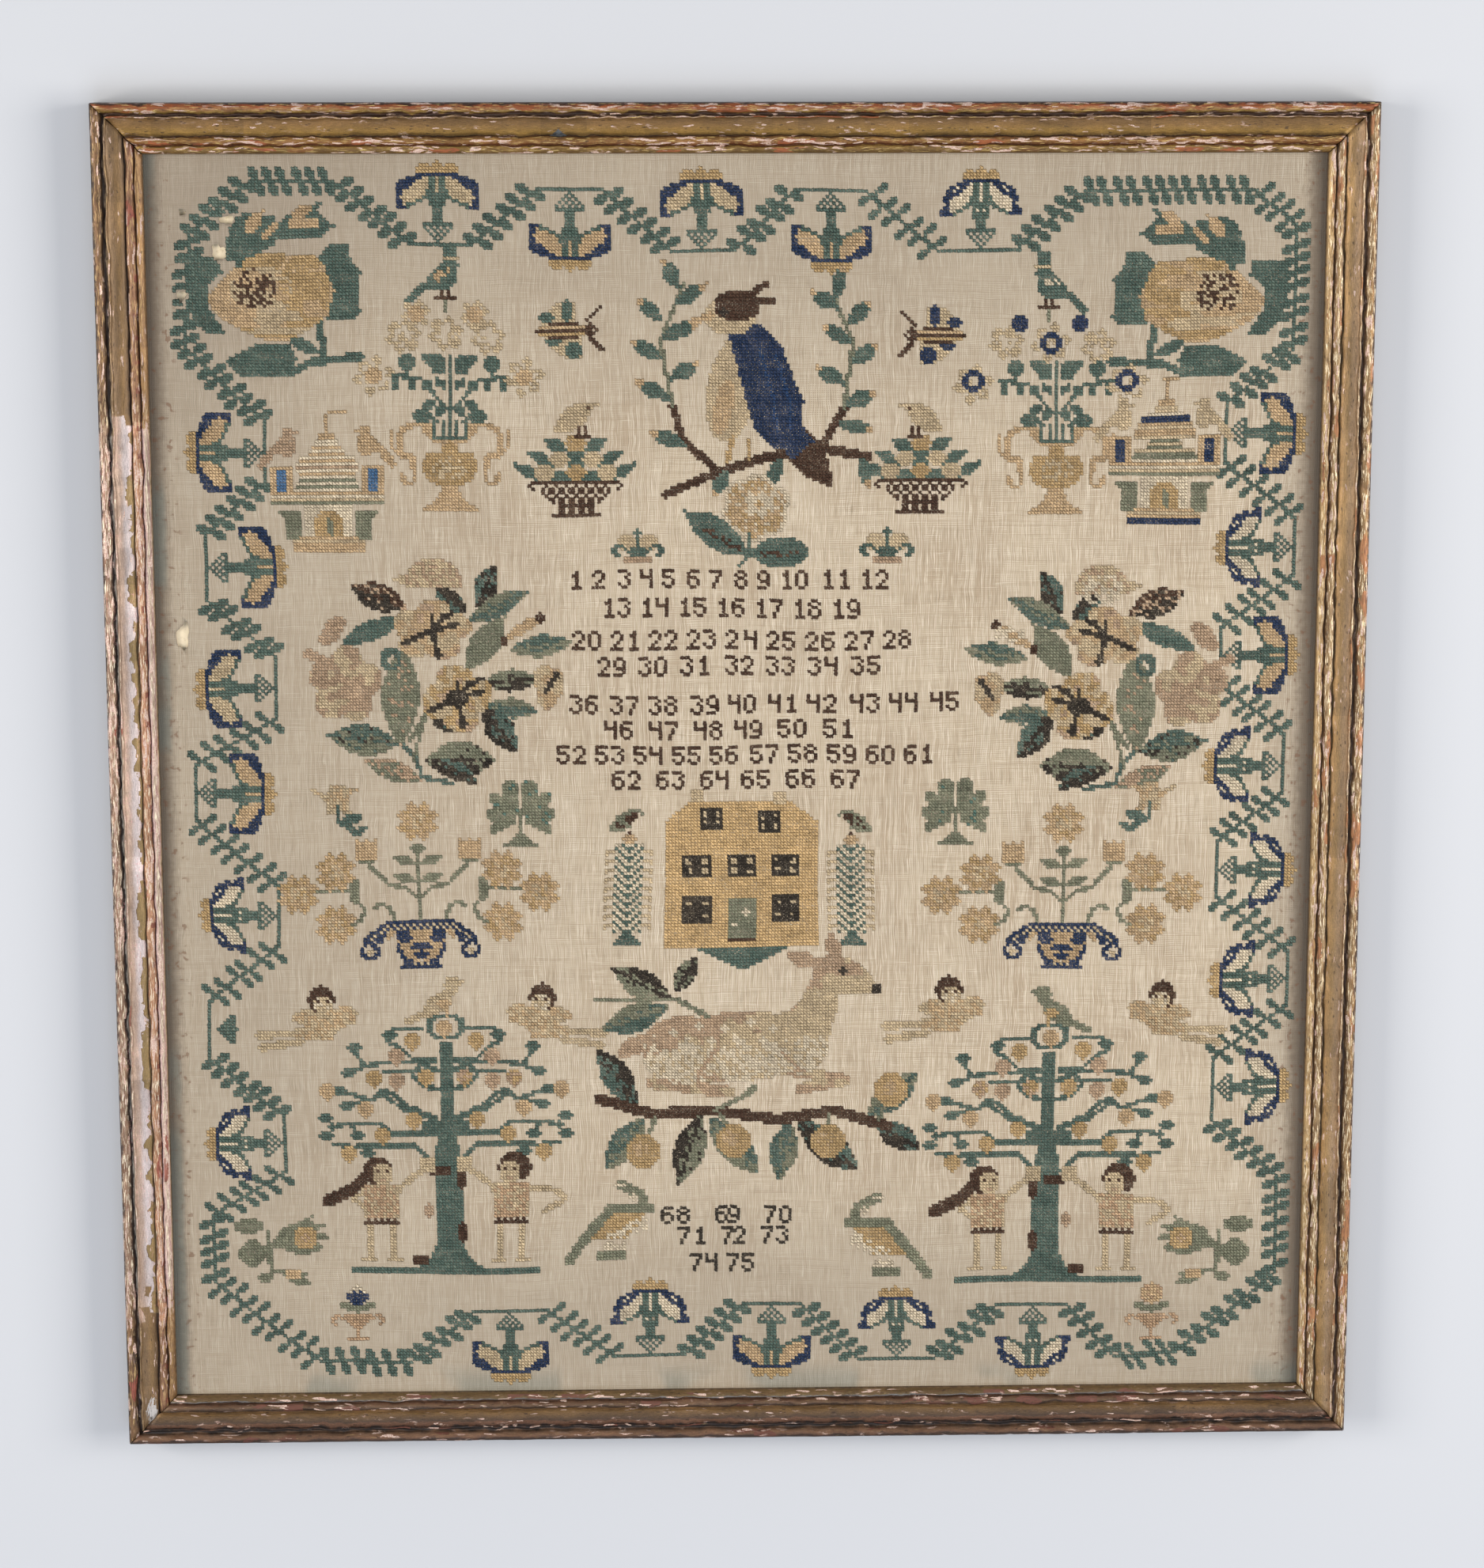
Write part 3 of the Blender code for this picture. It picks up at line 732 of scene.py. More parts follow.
def linen_material():
    """Bleached linen gone tan: pale slubs mostly on the upright threads, soft stains, greying near the
    frame, and painted shade in the pinholes and inside the side rails.
    """
    material, tree = new_material("handspun_linen_plain_weave")
    true_place = node(tree, "UVMap", {}, uv_map="threads")
    wander = node(tree, "TexNoise", {"Vector": true_place, "Scale": 1 / (7 * MM), "Detail": 1.0}, out=1)
    wander = node(tree, "VectorMath", {0: wander, 1: (1.3 * MM, 0.8 * MM, 0.0)}, operation="MULTIPLY")
    place = node(tree, "VectorMath", {0: true_place, 1: wander}, operation="ADD")
    u = node(tree, "SeparateXYZ", {0: place}, out=0)
    v = node(tree, "SeparateXYZ", {0: place}, out=1)
    wave_u = computed(tree, "MULTIPLY", u, math.pi / DRAWN_THREAD)
    wave_v = computed(tree, "MULTIPLY", v, math.pi / DRAWN_THREAD)
    sine_u = computed(tree, "SINE", wave_u)
    sine_v = computed(tree, "SINE", wave_v)
    upright = computed(tree, "ABSOLUTE", sine_u)
    level = computed(tree, "ABSOLUTE", sine_v)
    crossing = computed(tree, "MULTIPLY", sine_u, sine_v)
    above = rescaled(tree, crossing, -0.4, 0.4)
    weave = node(tree, "Mix", {0: above, 2: level, 3: upright}, data_type="FLOAT")
    solid = reckoned(tree, "MAXIMUM", upright, level)
    pinhole_shade = rescaled(tree, solid, 0.3, 0.7, 1, 0)

    scales = {
        "slub": (1 / (0.5 * THREAD), 1 / (8 * MM), 1),
        "cross_slub": (1 / (11 * MM), 1 / (0.5 * THREAD), 1),
        "ridge": (1 / THREAD, 1 / (30 * MM), 1),
        "cross_ridge": (1 / (30 * MM), 1 / THREAD, 1),
        "stain": (1 / (38 * MM), 1 / (52 * MM), 1),
        "open": (1 / (16 * MM), 1 / (16 * MM), 1),
    }
    noise = {}
    for name, scale in scales.items():
        moved = node(tree, "Mapping", {0: place, "Scale": scale})
        noise[name] = node(tree, "TexNoise", {"Vector": moved, "Scale": 1.0, "Detail": 1.5})

    colour = mixed(tree, stepped(tree, noise["stain"], 0.35, 0.68), "#b7a993", "#aa9a84")
    colour = mixed(tree, stepped(tree, noise["ridge"], 0.42, 0.62), colour, "#c2b6a3")
    furrow = both(tree, stepped(tree, noise["cross_ridge"], 0.50, 0.36), 0.45)
    colour = mixed(tree, furrow, colour, "#a3937c")
    pale = both(tree, stepped(tree, noise["slub"], 0.59, 0.66), 0.60)
    colour = mixed(tree, pale, colour, "#dcd3c2")
    pale_cross = both(tree, stepped(tree, noise["cross_slub"], 0.62, 0.67), 0.50)
    colour = mixed(tree, pale_cross, colour, "#dad1c0")
    shade = both(tree, stepped(tree, noise["slub"], 0.41, 0.35), 0.45)
    colour = mixed(tree, shade, colour, "#83745f")
    # The pinholes between the threads are painted dark, as shade in the gaps of the weave.
    dark = both(tree, pinhole_shade, rescaled(tree, noise["open"], 0.35, 0.65, 0.5, 1.0))
    colour = mixed(tree, dark, colour, "#675a49")

    # The linen is painted greyer over its left half and towards the top and the foot, and darker by the
    # right rail as painted shade of that rail.
    edges = [(u, -0.01, -0.20), (u, 0.182, 0.203), (v, 0.09, 0.21), (v, -0.12, -0.205)]
    greying_and_shade = 0.0
    for across, not_grey, fully_grey in edges:
        greying_and_shade = reckoned(tree, "MAXIMUM", stepped(tree, across, not_grey, fully_grey), greying_and_shade)
    colour = mixed(tree, both(tree, greying_and_shade, 0.55), colour, "#8d8476")
    corner = stepped(tree, computed(tree, "SUBTRACT", u, v), -0.26, -0.40)
    colour = mixed(tree, both(tree, corner, 0.35), colour, "#6f655a")
    out_u = computed(tree, "ABSOLUTE", u)
    mottle = node(tree, "TexNoise", {"Vector": place, "Scale": 1 / (2.5 * MM), "Detail": 3.0})
    ragged = computed(tree, "MULTIPLY_ADD", mottle, 0.004, out_u)
    # Painted shade of the side rails, with some dirt in it: a dark ragged band just inside them.
    rail_shade_and_dirt = both(tree, stepped(tree, ragged, 0.1995, 0.2058), 0.80)
    colour = mixed(tree, rail_shade_and_dirt, colour, "#584c40")
    fleck = both(tree, stepped(tree, mottle, 0.60, 0.66), stepped(tree, out_u, 0.194, 0.1985))
    colour = mixed(tree, both(tree, fleck, 0.6), colour, "#6b4c38")
    # A grey-green tint in patches along the left edge, where it is also painted shade of the left rail, and
    # along the foot.
    tint_patches = stepped(tree, noise["stain"], 0.44, 0.52)
    selvedge = both(tree, stepped(tree, u, -0.2000, -0.2020), tint_patches)
    foot = both(tree, stepped(tree, v, -0.212, -0.222), stepped(tree, noise["stain"], 0.5, 0.56))
    edge_tint_and_shade = both(tree, reckoned(tree, "ADD", selvedge, foot), 0.4)
    colour = mixed(tree, edge_tint_and_shade, colour, "#64716d")

    thickness = computed(tree, "ADD", weave, noise["slub"])
    relief = node(tree, "Bump", {"Height": thickness, "Strength": 0.6, "Distance": 0.12 * MM})
    inputs = {"Base Color": colour, "Roughness": 0.85, "Normal": relief}
    finish_material(tree, node(tree, "BsdfPrincipled", inputs))
    return material


linen.data.materials.clear()
linen.data.materials.append(linen_material())

card, tree = new_material("cream_millboard")
card_place = node(tree, "TexCoord", {}, out=3)
fibre = node(tree, "TexNoise", {"Vector": card_place, "Scale": 1 / (1.6 * MM), "Detail": 3.0})
mottle = node(tree, "TexNoise", {"Vector": card_place, "Scale": 1 / (40 * MM), "Detail": 2.0})
card_colour = mixed(tree, stepped(tree, mottle, 0.35, 0.65), "#fdf0d4", "#f2e2c2")
card_colour = mixed(tree, stepped(tree, fibre, 0.55, 0.75), card_colour, "#e0cfaa")
card_relief = node(tree, "Bump", {"Height": fibre, "Strength": 0.4, "Distance": 0.1 * MM})
card_inputs = {"Base Color": card_colour, "Roughness": 0.9, "Normal": card_relief}
finish_material(tree, node(tree, "BsdfPrincipled", card_inputs))
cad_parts["backing_board"].data.materials.clear()
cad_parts["backing_board"].data.materials.append(card)
print("card colour on:", "backing_board")

# %% [markdown]
# ## The chart
#
# A needleworker counts every motif from a chart, one square to a cross. The chart here is an array of
# whole numbers, one to a cross, and each number is a thread colour. Its squares are complex numbers,
# columns along the real line and rows up the imaginary one, because a move is then a sum, and a
# turn or a mirror image is one product. Shapes with a formula, such as leaves, are counted by it.
# The repeating border flower is charted square by square, as in an old pattern book.

# %% Threads and squares
SILKS = {
    "teal": "#4e615a",
    "moss": "#737664",
    "fern": "#557269",
    "navy": "#24334f",
    "blue": "#233b5f",
    "sky": "#426488",
    "gold": "#a78e66",
    "ochre": "#b09877",
    "buff": "#ba9e72",
    "straw": "#b2a184",
    "cream": "#c2b6a0",
    "flesh": "#a98e72",
    "rosewood": "#a48d75",
    "brown": "#463329",
    "char": "#35302b",
}
SHADES = list(SILKS)
HALF_COLUMNS, HALF_ROWS = 182, 198
squares = np.arange(-HALF_COLUMNS, HALF_COLUMNS) + 1j * np.arange(-HALF_ROWS, HALF_ROWS)[:, None]
chart = np.zeros(squares.shape, dtype=np.int16)


def sew(mask, silk):
    """Counts one cross of a silk for each square of a mask, over whatever was there."""
    chart[mask] = SHADES.index(silk) + 1


def spot(c, r, mirrored=False, quarters=0):
    """The squares as seen from a motif's own spot: moved, turned by quarters and mirrored if asked."""
    local = (squares - complex(round(c), round(r))) * (-1j) ** quarters
    return -local.conjugate() if mirrored else local


print("chart of", chart.shape[1], "by", chart.shape[0], "squares")


# %% Counted shapes
def oval(z, centre, wide, high, turn=0.0):
    """Squares inside an ellipse: (x / wide)^2 + (y / high)^2 < 1."""
    local = (z - centre) * np.exp(-1j * math.radians(turn))
    return (local.real / wide) ** 2 + (local.imag / high) ** 2 < 1


def stroke(z, points, width=1.2):
    """Squares within half a width of a line drawn through points."""
    mask = np.zeros(z.shape, dtype=bool)
    for one, other in zip(points, points[1:]):
        share = np.clip(((z - one) / (other - one)).real, 0, 1)
        mask |= abs(z - one - share * (other - one)) < width / 2
    return mask


def leaf(z, root, tip, width, belly=1.0):
    """Squares in a lens from root to tip: half the width times the sine of the share of the way. A belly
    under 1 sets the widest place nearer the root."""
    local = (z - root) / (tip - root)
    share = np.clip(local.real, 0, 1)
    half = width / 2 * np.sin(np.pi * share**belly)
    return (local.real > 0) & (local.real < 1) & (abs(local.imag) * abs(tip - root) < half)


def bloom(z, centre, reach, petals, depth=0.3, turn=0.0):
    """Squares in a lobed disc: the reach shrinks by depth between one petal and the next."""
    local = (z - centre) * np.exp(-1j * math.radians(turn))
    lobe = abs(np.cos(petals / 2 * np.angle(local)))
    return abs(local) < reach * (1 - depth + depth * lobe)


def patch(z, points):
    """Squares inside a polygon: a line going right from them crosses its sides an odd number of times."""
    inside = np.zeros(z.shape, dtype=bool)
    for one, other in zip(points, points[1:] + points[:1]):
        spans = (one.imag <= z.imag) != (other.imag <= z.imag)
        share = (z.imag - one.imag) / (other.imag - one.imag or 1)
        inside ^= spans & (one.real + share * (other.real - one.real) >= z.real)
    return inside


def charted(z, lines, silks, half=False):
    """Squares charted one by one in lines of letters, top line first, with the lower left one at z = 0.
    Half means that the lines run out from the middle line, and are worked to both sides of it."""
    letters = np.array([list(line) for line in lines[::-1]])
    x = np.rint(abs(z.real) if half else z.real).astype(int)
    y = np.rint(z.imag).astype(int)
    inside = (x >= 0) & (x < letters.shape[1]) & (y >= 0) & (y < letters.shape[0])
    found = np.where(inside, letters[y.clip(0, len(letters) - 1), x.clip(0, letters.shape[1] - 1)], ".")
    for letter, silk in silks.items():
        sew(found == letter, silk)


def speckled(mask, share, seed):
    """A random share of a mask's squares."""
    return mask & (np.random.default_rng(seed).random(mask.shape) < share)


def between(value, low, high):
    """Squares where a value lies above low and below high."""
    return (value > low) & (value < high)


def worked_in(silk):
    """Squares that are already counted in a silk."""
    return chart == SHADES.index(silk) + 1


print("squares in a test oval:", int(oval(squares, 0, 5, 3).sum()))

# %% [markdown]
# The border is the oldest of band patterns: a stem that zigzags, with a pink that faces in and out by
# turns on its level bars, and small leaves set in pairs on the slopes. The corners are leafy runs.

# %% Border flower
# Half of each flower, from its middle line outwards: o crown, n outline, c petals, g stem. The bold one
# has its petals edged with heavy lobes, the open one with a thin line.
BOLD_FLOWER = [
    "o............",
    "oo.ooo.......",
    "ooooooo......",
    "ooooooo......",
    "nnnnnnn......",
    "cggccnnnnn...",
    "cggccccnnnnn.",
    "cggcccccnnnnn",
    "cggccccccnnnn",
    "cgggcccccccnn",
    "ggggcccccccnn",
    "gggggcccccccn",
    "ggg..ggccccnn",
    "ggg....gggcnn",
    "gg.......gnnn",
    "gg...........",
    "gg...........",
    "gg...........",
    "gg...........",
    "ggggg........",
    "g.g.g........",
    ".g.g.........",
    "g.g..........",
    ".g...........",
    "g............",
]
OPEN_FLOWER = [
    "o............",
    "oo.oo........",
    "oooooo.......",
    "oooooo.......",
    "nnnnnn.......",
    "cggcnnnn.....",
    "cggccnncnn...",
    "cggcccnncnn..",
    "cggccccnnnn..",
    "cgggcccccnnn.",
    "cgggccccccnn.",
    "gggggcccccn..",
    "ggg.ggccccnn.",
    "gcg...ggccnnn",
    "ggg.....gnnnn",
    "ggg..........",
    "gg...........",
    "gg...........",
    "gg...........",
    "ggggg........",
    "g.g.g........",
    ".g.g.........",
    "g.g..........",
    ".g...........",
    "g............",
]


def border_flower(c, r, quarters, fill):
    """One flower whose bar lies at (c, r); no quarter turn points it up, one left, two down, three right."""
    z = spot(c, r, quarters=quarters)
    lines = OPEN_FLOWER if fill == "cream" else BOLD_FLOWER
    charted(z - 1j, lines, {"o": "gold", "n": "navy", "c": fill, "g": "teal"}, half=True)


# In squares: the stem's width, one pair of leaves to the next, and a leaf's length and width.
STEM, LEAF_SPACE, LEAF_LENGTH, LEAF_WIDTH = 1.25, 4.5, 5.6, 2.6


def vine(points):
    """A stem through points with leaves in pairs along it. The pair's line crosses the stem at about 65
    degrees, on the side that keeps it steep, and every leaf grows from a whole square to a whole square."""
    for one, other in zip(points, points[1:]):
        step = other - one
        sew(stroke(squares, [one, other], STEM), "teal")
        heading = step / abs(step)
        falling = heading.real * heading.imag < -0.05
        lean = heading * np.exp(1j * math.radians(66 if falling else -65))
        reach = np.round(LEAF_LENGTH * lean)
        pairs = max(1, round(abs(step) / LEAF_SPACE))
        for root in np.round(one + step * (np.arange(pairs) + 0.5) / pairs):
            for tip in (root + reach, root - reach):
                sew(leaf(squares, root, tip, LEAF_WIDTH, belly=1.05), "teal")


print("flower charts of", len(BOLD_FLOWER), "and", len(OPEN_FLOWER), "lines")

# %% Border run
# The level bars in order round each side: both ends, and the way each one's flower faces.
TOP_BARS = [(-101, -82, 169, 0), (-62, -42, 186, 2), (-21, -2, 167, 0), (17, 39, 185, 2), (61, 86, 167, 0)]
BOTTOM_BARS = [
    (-86, -62, -170, 2), (-40, -18, -186, 0), (1, 19, -169, 2), (38, 62, -188, 0), (82, 105, -170, 2),
]
RIGHT_BARS = [
    (119, 101, 151, 3),
    (84, 66, 173, 1),
    (50, 32, 150, 3),
    (16, -3, 171, 1),
    (-18, -37, 151, 3),
    (-54, -72, 174, 1),
    (-88, -109, 151, 3),
]
LEFT_BARS = [
    (116, 97, -146, 1),
    (80, 60, -166, 3),
    (42, 22, -145, 1),
    (8, -10, -170, 3),
    (-30, -50, -145, 1),
    (-68, -86, -168, None),
    (-105, -124, -145, 1),
]


def border_side(bars, level, fills):
    """One side of the border: bars with their flowers, and a leafy slope from each bar to the next."""
    ends = []
    for index, (start, end, line, faces) in enumerate(bars):
        one, other = complex(start, line), complex(end, line)
        if not level:
            one, other = complex(line, start), complex(line, end)
        sew(stroke(squares, [one, other], STEM), "teal")
        if ends:
            vine([ends[-1], one])
        ends.append(other)
        middle_square = (one + other) / 2
        if faces is not None:
            border_flower(middle_square.real, middle_square.imag, faces, fills[index])


border_side(TOP_BARS, True, ["straw", "ochre", "straw", "ochre", "cream"])
border_side(BOTTOM_BARS, True, ["straw", "cream", "ochre", "cream", "cream"])
border_side(RIGHT_BARS, False, ["ochre", "cream", "ochre", "cream", "cream", "cream", "cream"])
border_side(LEFT_BARS, False, ["ochre", "ochre", "straw", "ochre", "cream", None, "cream"])

bud = spot(-167, -77)
sew(patch(bud, [1 + 0j, 7 + 5j, 8 + 0j, 7 - 5j]), "teal")

# The leafy corner runs.
vine([-101 + 169j, -124 + 188j, -149 + 188j, -168 + 172j, -170 + 138j, -152 + 121j, -146 + 116j])
vine([86 + 168j, 106 + 185j, 158 + 185j, 171 + 175j, 171 + 136j, 157 + 124j, 151 + 119j])
vine([-145 - 124j, -168 - 138j, -168 - 160j, -135 - 187j, -106 - 188j, -86 - 170j])
vine([151 - 109j, 172 - 128j, 172 - 160j, 141 - 187j, 121 - 188j, 105 - 170j])
print("crosses counted in the border:", int((chart > 0).sum()))

# %% [markdown]
# ## Motifs of the upper field
#
# Spot motifs in samplers are worked in mirrored pairs, one on each side of the middle. So a motif is a
# small function that gets the squares as seen from its own spot, and the right one gets them mirrored.
# Motifs that are alike on both sides of their own middle are drawn once on folded squares.


# %% Corner roses
def fold(z):
    """The squares folded on their upright middle line, so that one drawing serves both halves."""
    return abs(z.real) + 1j * z.imag


def corner_rose(z, seed):
    """A wide open rose over three cut leaves, with a bent stem and two buds."""
    left_leaf = [-25 + 12j, -14 + 12j, -13 + 7j, -17 + 4j, -18 - 3j, -12 - 12j, -19 - 11j, -23 - 6j, -25 + 1j]
    right_leaf = [
        16 + 11j, 21 + 15j, 25 + 15j, 26 + 10j, 29 + 6j, 28 + 1j, 29 - 5j, 26 - 8j, 18 - 7j, 21 + 1j,
    ]
    low_leaf = [-13 - 20j, -8 - 17j, -1 - 14j, 7 - 15j, 9 - 19j, 8 - 25j, -1 - 24j, -8 - 25j]
    for cut_leaf in (left_leaf, right_leaf, low_leaf):
        sew(patch(z, cut_leaf), "teal")
    sew(stroke(z, [8 - 23j, 14 - 20j, 29 - 19j], 2.6) | stroke(z, [16 - 7j, 18 - 19j], 2.2), "teal")
    sew(leaf(z, 6 - 12j, 17 - 18j, 3.4), "teal")
    head = [
        -12 + 6j, -7 + 11j, 0 + 13j, 6 + 12j, 14 + 12j, 18 + 8j, 21 + 1j, 19 - 6j, 13 - 10j, 7 - 13j,
        -1 - 13j, -8 - 10j, -15 - 6j, -18 - 1j, -15 + 3j,
    ]
    petals = patch(z, head)
    ragged = waves(z.real, 3 * z.imag, seed, 9, 30)
    sew(petals, "ochre")
    sew(petals & (oval(z, 12 + 0j, 8, 12) | oval(z, -1 + 11j, 8, 4)) & (ragged > -0.7), "gold")
    sew(petals & (abs(z.imag + 8) < 3.2) & (ragged > 0.1), "straw")
    sew(petals & (abs(z.imag + 11) < 2) & (ragged < 0.1), "gold")
    heart = oval(z, -1 + 1j, 10, 8)
    sew(heart & (ragged > -0.2), "straw")
    sew(speckled(oval(z, -3 + 2j, 6.8, 6.2), 0.48, seed), "brown")
    sew(stroke(z, [-8 + 9j, -4 + 16j], 1.8), "teal")
    sew(patch(z, [-12 + 10j, -12 + 15j, -9 + 23j, -4 + 25j, 3 + 23j, 5 + 20j, 3 + 15j, -3 + 12j]), "teal")
    sew(patch(z, [-1 + 16j, 5 + 22j, 12 + 26j, 18 + 28j, 15 + 25j, 21 + 20j, 17 + 17j, 6 + 17j]), "teal")
    sew(leaf(z, -6 + 18j, 0 + 25j, 4.5) | stroke(z, [0 + 17j, 4 + 21j], 1.5), "ochre")
    sew(oval(z, 12 + 21j, 5, 1.8) | leaf(z, 8 + 23j, 15 + 26j, 3.4), "ochre")


corner_rose(spot(-145, 154), 61)
corner_rose(spot(144, 152, mirrored=True), 62)
print("crosses so far:", int((chart > 0).sum()))


# %% Small birds and urns of flowers
def urn_bird(z, breast):
    """A little long tailed bird that stands on the flowers."""
    sew(
        patch(z, [-4 + 13j, -4 + 16j, -3 + 17j, 0 + 16j, 0 + 13j]) | stroke(z, [-3 + 10j, 0 + 10j], 2.2),
        "teal",
    )
    sew(stroke(z, [-4 + 12j, 0 + 12j]), "straw")
    body = [-4 + 9j, -3 + 11j, 0 + 11j, 2 + 9j, 5 + 6j, 4 + 3j, 0 + 2j, -3 + 4j, -4 + 6j]
    sew(patch(z, body) | stroke(z, [3 + 5j, 7 + 3j, 11 - 1j], 2.6), "teal")
    sew(speckled(leaf(z, -2 + 9j, 4 + 5j, 3.4), 0.55, 5), breast)
    sew(stroke(z, [-1 + 2j, -1 + 0j]) | stroke(z, [1 + 2j, 1 + 0j]) | stroke(z, [-3 - 0j, 3 - 0j]), "brown")
    sew(stroke(z, [0 - 1j, 0 - 4j]), "moss")


def scroll_urn(z):
    """A footed urn with two scrolled handles and a leafy spray standing in a green cup."""
    z = fold(z)
    sew(patch(z, [-1 - 0.5j, 8.5 - 0.5j, 7 + 1j, 3.2 + 4.5j, 2.4 + 8j, -1 + 8j]), "ochre")
    sew(patch(z, [-1 + 7.5j, 4 + 7.5j, 7 + 9.5j, 8.6 + 12j, 8.6 + 15j, 7 + 17.4j, -1 + 17.4j]), "gold")
    sew(speckled(oval(z, 13j, 5.5, 3.6), 0.5, 8), "straw")
    sew(patch(z, [-1 + 17j, 2.4 + 17j, 2.4 + 21.5j, -1 + 21.5j]), "gold")
    sew(stroke(z, [2 + 21j, 5 + 22j, 7 + 24j, 7 + 26j], 2.2), "ochre")
    sew(
        stroke(z, [7 + 26j, 12 + 26j, 15 + 24j, 16 + 20j, 15 + 17j, 12 + 16j, 11 + 13j, 11 + 9j], 1.9),
        "ochre",
    )
    sew(stroke(z, [12 + 8j, 14 + 8j, 15 + 11j], 1.8) | stroke(z, [18 + 24j, 18 + 19j, 16 + 17j]), "ochre")
    sew(stroke(z, [0 + 22j, 5 + 22j]) | stroke(z, [5 + 22j, 5 + 27j]) | stroke(z, [2 + 22j, 2 + 27j]), "teal")
    sew(stroke(z, [0 + 22j, 0 + 47j], 1.5) | stroke(z, [4 + 27j, 6 + 28j], 1.5), "teal")
    sew(
        leaf(z, 5 + 28j, 12 + 29j, 4.2) | patch(z, [1 + 44j, 2 + 47j, 8 + 48j, 8 + 46j, 5 + 42j, 2 + 41j]),
        "teal",
    )
    sew(stroke(z, [0 + 30j, 4 + 34j, 9 + 40j, 18 + 41j]) | stroke(z, [13 + 41j, 13 + 44j]), "teal")
    sew(
        oval(z, 13 + 45j, 2.7, 2.5) | leaf(z, 12 + 41j, 11 + 36j, 3) | leaf(z, 17 + 41j, 16 + 36j, 2.8),
        "teal",
    )
    sew(leaf(z, 8 + 40j, 6 + 36j, 3) | leaf(z, 5 + 34j, 8 + 30j, 3) | leaf(z, 2 + 33j, 4 + 28j, 2.8), "teal")
    sew(leaf(z, 1 + 37j, 5 + 40j, 2.8), "teal")


def lace_flower(c, r, reach, silk, eye=None):
    """A faded flower of which little but the outline of its six petals is left."""
    z = spot(c, r)
    petals = bloom(z, 0, reach, 6, 0.36, turn=15)
    inner = bloom(z, 0, reach - 1.7, 6, 0.36, turn=15)
    sew(petals & ~inner, silk)
    sew(speckled(inner & (abs(z) < reach - 2), 0.35, int(c + 300)), silk)
    if eye:
        sew(abs(z) < 2.3, eye)


urn_bird(spot(-90, 153, mirrored=True), "ochre")
urn_bird(spot(95, 150), "cream")
scroll_urn(spot(-89, 88))
scroll_urn(spot(98, 86))
for c, r in [(-99, 148), (-81, 148)]:
    lace_flower(c, r, 4.4, "straw", "ochre")
for c, r in [(-103, 141), (-90, 142), (-77, 141), (82, 139), (111, 138)]:
    lace_flower(c, r, 5.4, "straw")
for c, r in [(-112, 129), (-66, 129), (72, 126), (120, 126), (96, 139)]:
    lace_flower(c, r, 6.2, "straw", "ochre" if c < 0 else None)
for c, r in [(86, 145), (105, 145)]:
    sew(abs(spot(c, r)) < 2.7, "navy")
for c, r in [(72, 127), (120, 127), (96, 139)]:
    ring = abs(spot(c, r))
    sew((ring < 3.3) & (ring > 1.9), "navy")
print("crosses so far:", int((chart > 0).sum()))


# %% Garden pavilions
def bands(z, rows):
    """Level bands of crosses: each is its lowest and highest line, half its width and its silk."""
    for low, high, half, silk in rows:
        sew((z.imag >= low) & (z.imag <= high) & (abs(z.real) <= half), silk)


def pavilion(z, dome, window, plinth):
    """A garden house with an arched door, striped floors, a stepped dome and two side turrets."""
    base = [(-15, -14, 11, plinth), (-13, -11, 11, "ochre"), (-12, -12, 11, "straw"), (-10, 0, 7.5, "cream")]
    bands(z, base)
    sew((abs(z.real) < 5) & (z.imag > -11) & (abs(z + 8j) < 5.6), "gold")
    sew(stroke(z, [1 - 10j, 0 - 5j], 1.9), "moss")
    side = fold(z)
    sew(patch(side, [9 - 11j, 13 - 11j, 13 - 6j, 15 - 3j, 13 - 2j, 11 - 3j, 9 - 2j, 8 - 6j]), "moss")
    for line, silk in enumerate(("moss", "straw", "cream", "ochre", "cream")):
        bands(z, [(line, line, 17, silk)])
    sew((abs(abs(z.real) - 14) < 3.5) & between(z.imag, 3, 12), "ochre")
    sew((abs(abs(z.real) - 14) < 1.2) & between(z.imag, 3, 11), window)
    bands(z, dome)


WARM_DOME = [
    (5, 5, 9, "moss"), (6, 6, 9, "cream"), (7, 7, 8, "moss"), (8, 8, 8, "cream"), (9, 9, 8, "ochre"),
    (10, 10, 9, "cream"), (11, 11, 9, "rosewood"), (12, 12, 9, "cream"), (13, 13, 8, "ochre"),
    (14, 14, 8, "cream"), (15, 15, 5, "ochre"), (16, 16, 5, "cream"), (17, 17, 4, "ochre"),
    (18, 19, 3, "cream"), (20, 21, 2.4, "ochre"), (22, 27, 0.4, "ochre"),
]
GREEN_DOME = [
    (5, 5, 10, "moss"), (6, 6, 9, "moss"), (7, 7, 9, "straw"), (8, 8, 5, "moss"), (9, 9, 5, "straw"),
    (10, 10, 4, "moss"), (11, 11, 9, "straw"), (12, 13, 9, "ochre"), (14, 14, 8, "straw"),
    (15, 15, 8, "ochre"), (16, 17, 7, "navy"), (18, 18, 5, "cream"), (19, 20, 3, "straw"),
    (21, 22, 2, "ochre"), (23, 28, 0.4, "ochre"),
]
pavilion(spot(-127, 90), WARM_DOME, "sky", "ochre")
pavilion(spot(132, 98), GREEN_DOME, "navy", "navy")


def roof_bird(z, silk):
    """A pale dove on a turret, its tail sloping away down the roof."""
    sew(oval(z, 0, 3, 3.4) | oval(z, 0 + 4j, 1.6, 1.6) | stroke(z, [0 + 4j, -3 + 4j]), silk)
    sew(stroke(z, [1 + 1j, 5 - 2j, 8 - 6j], 2.8), silk)


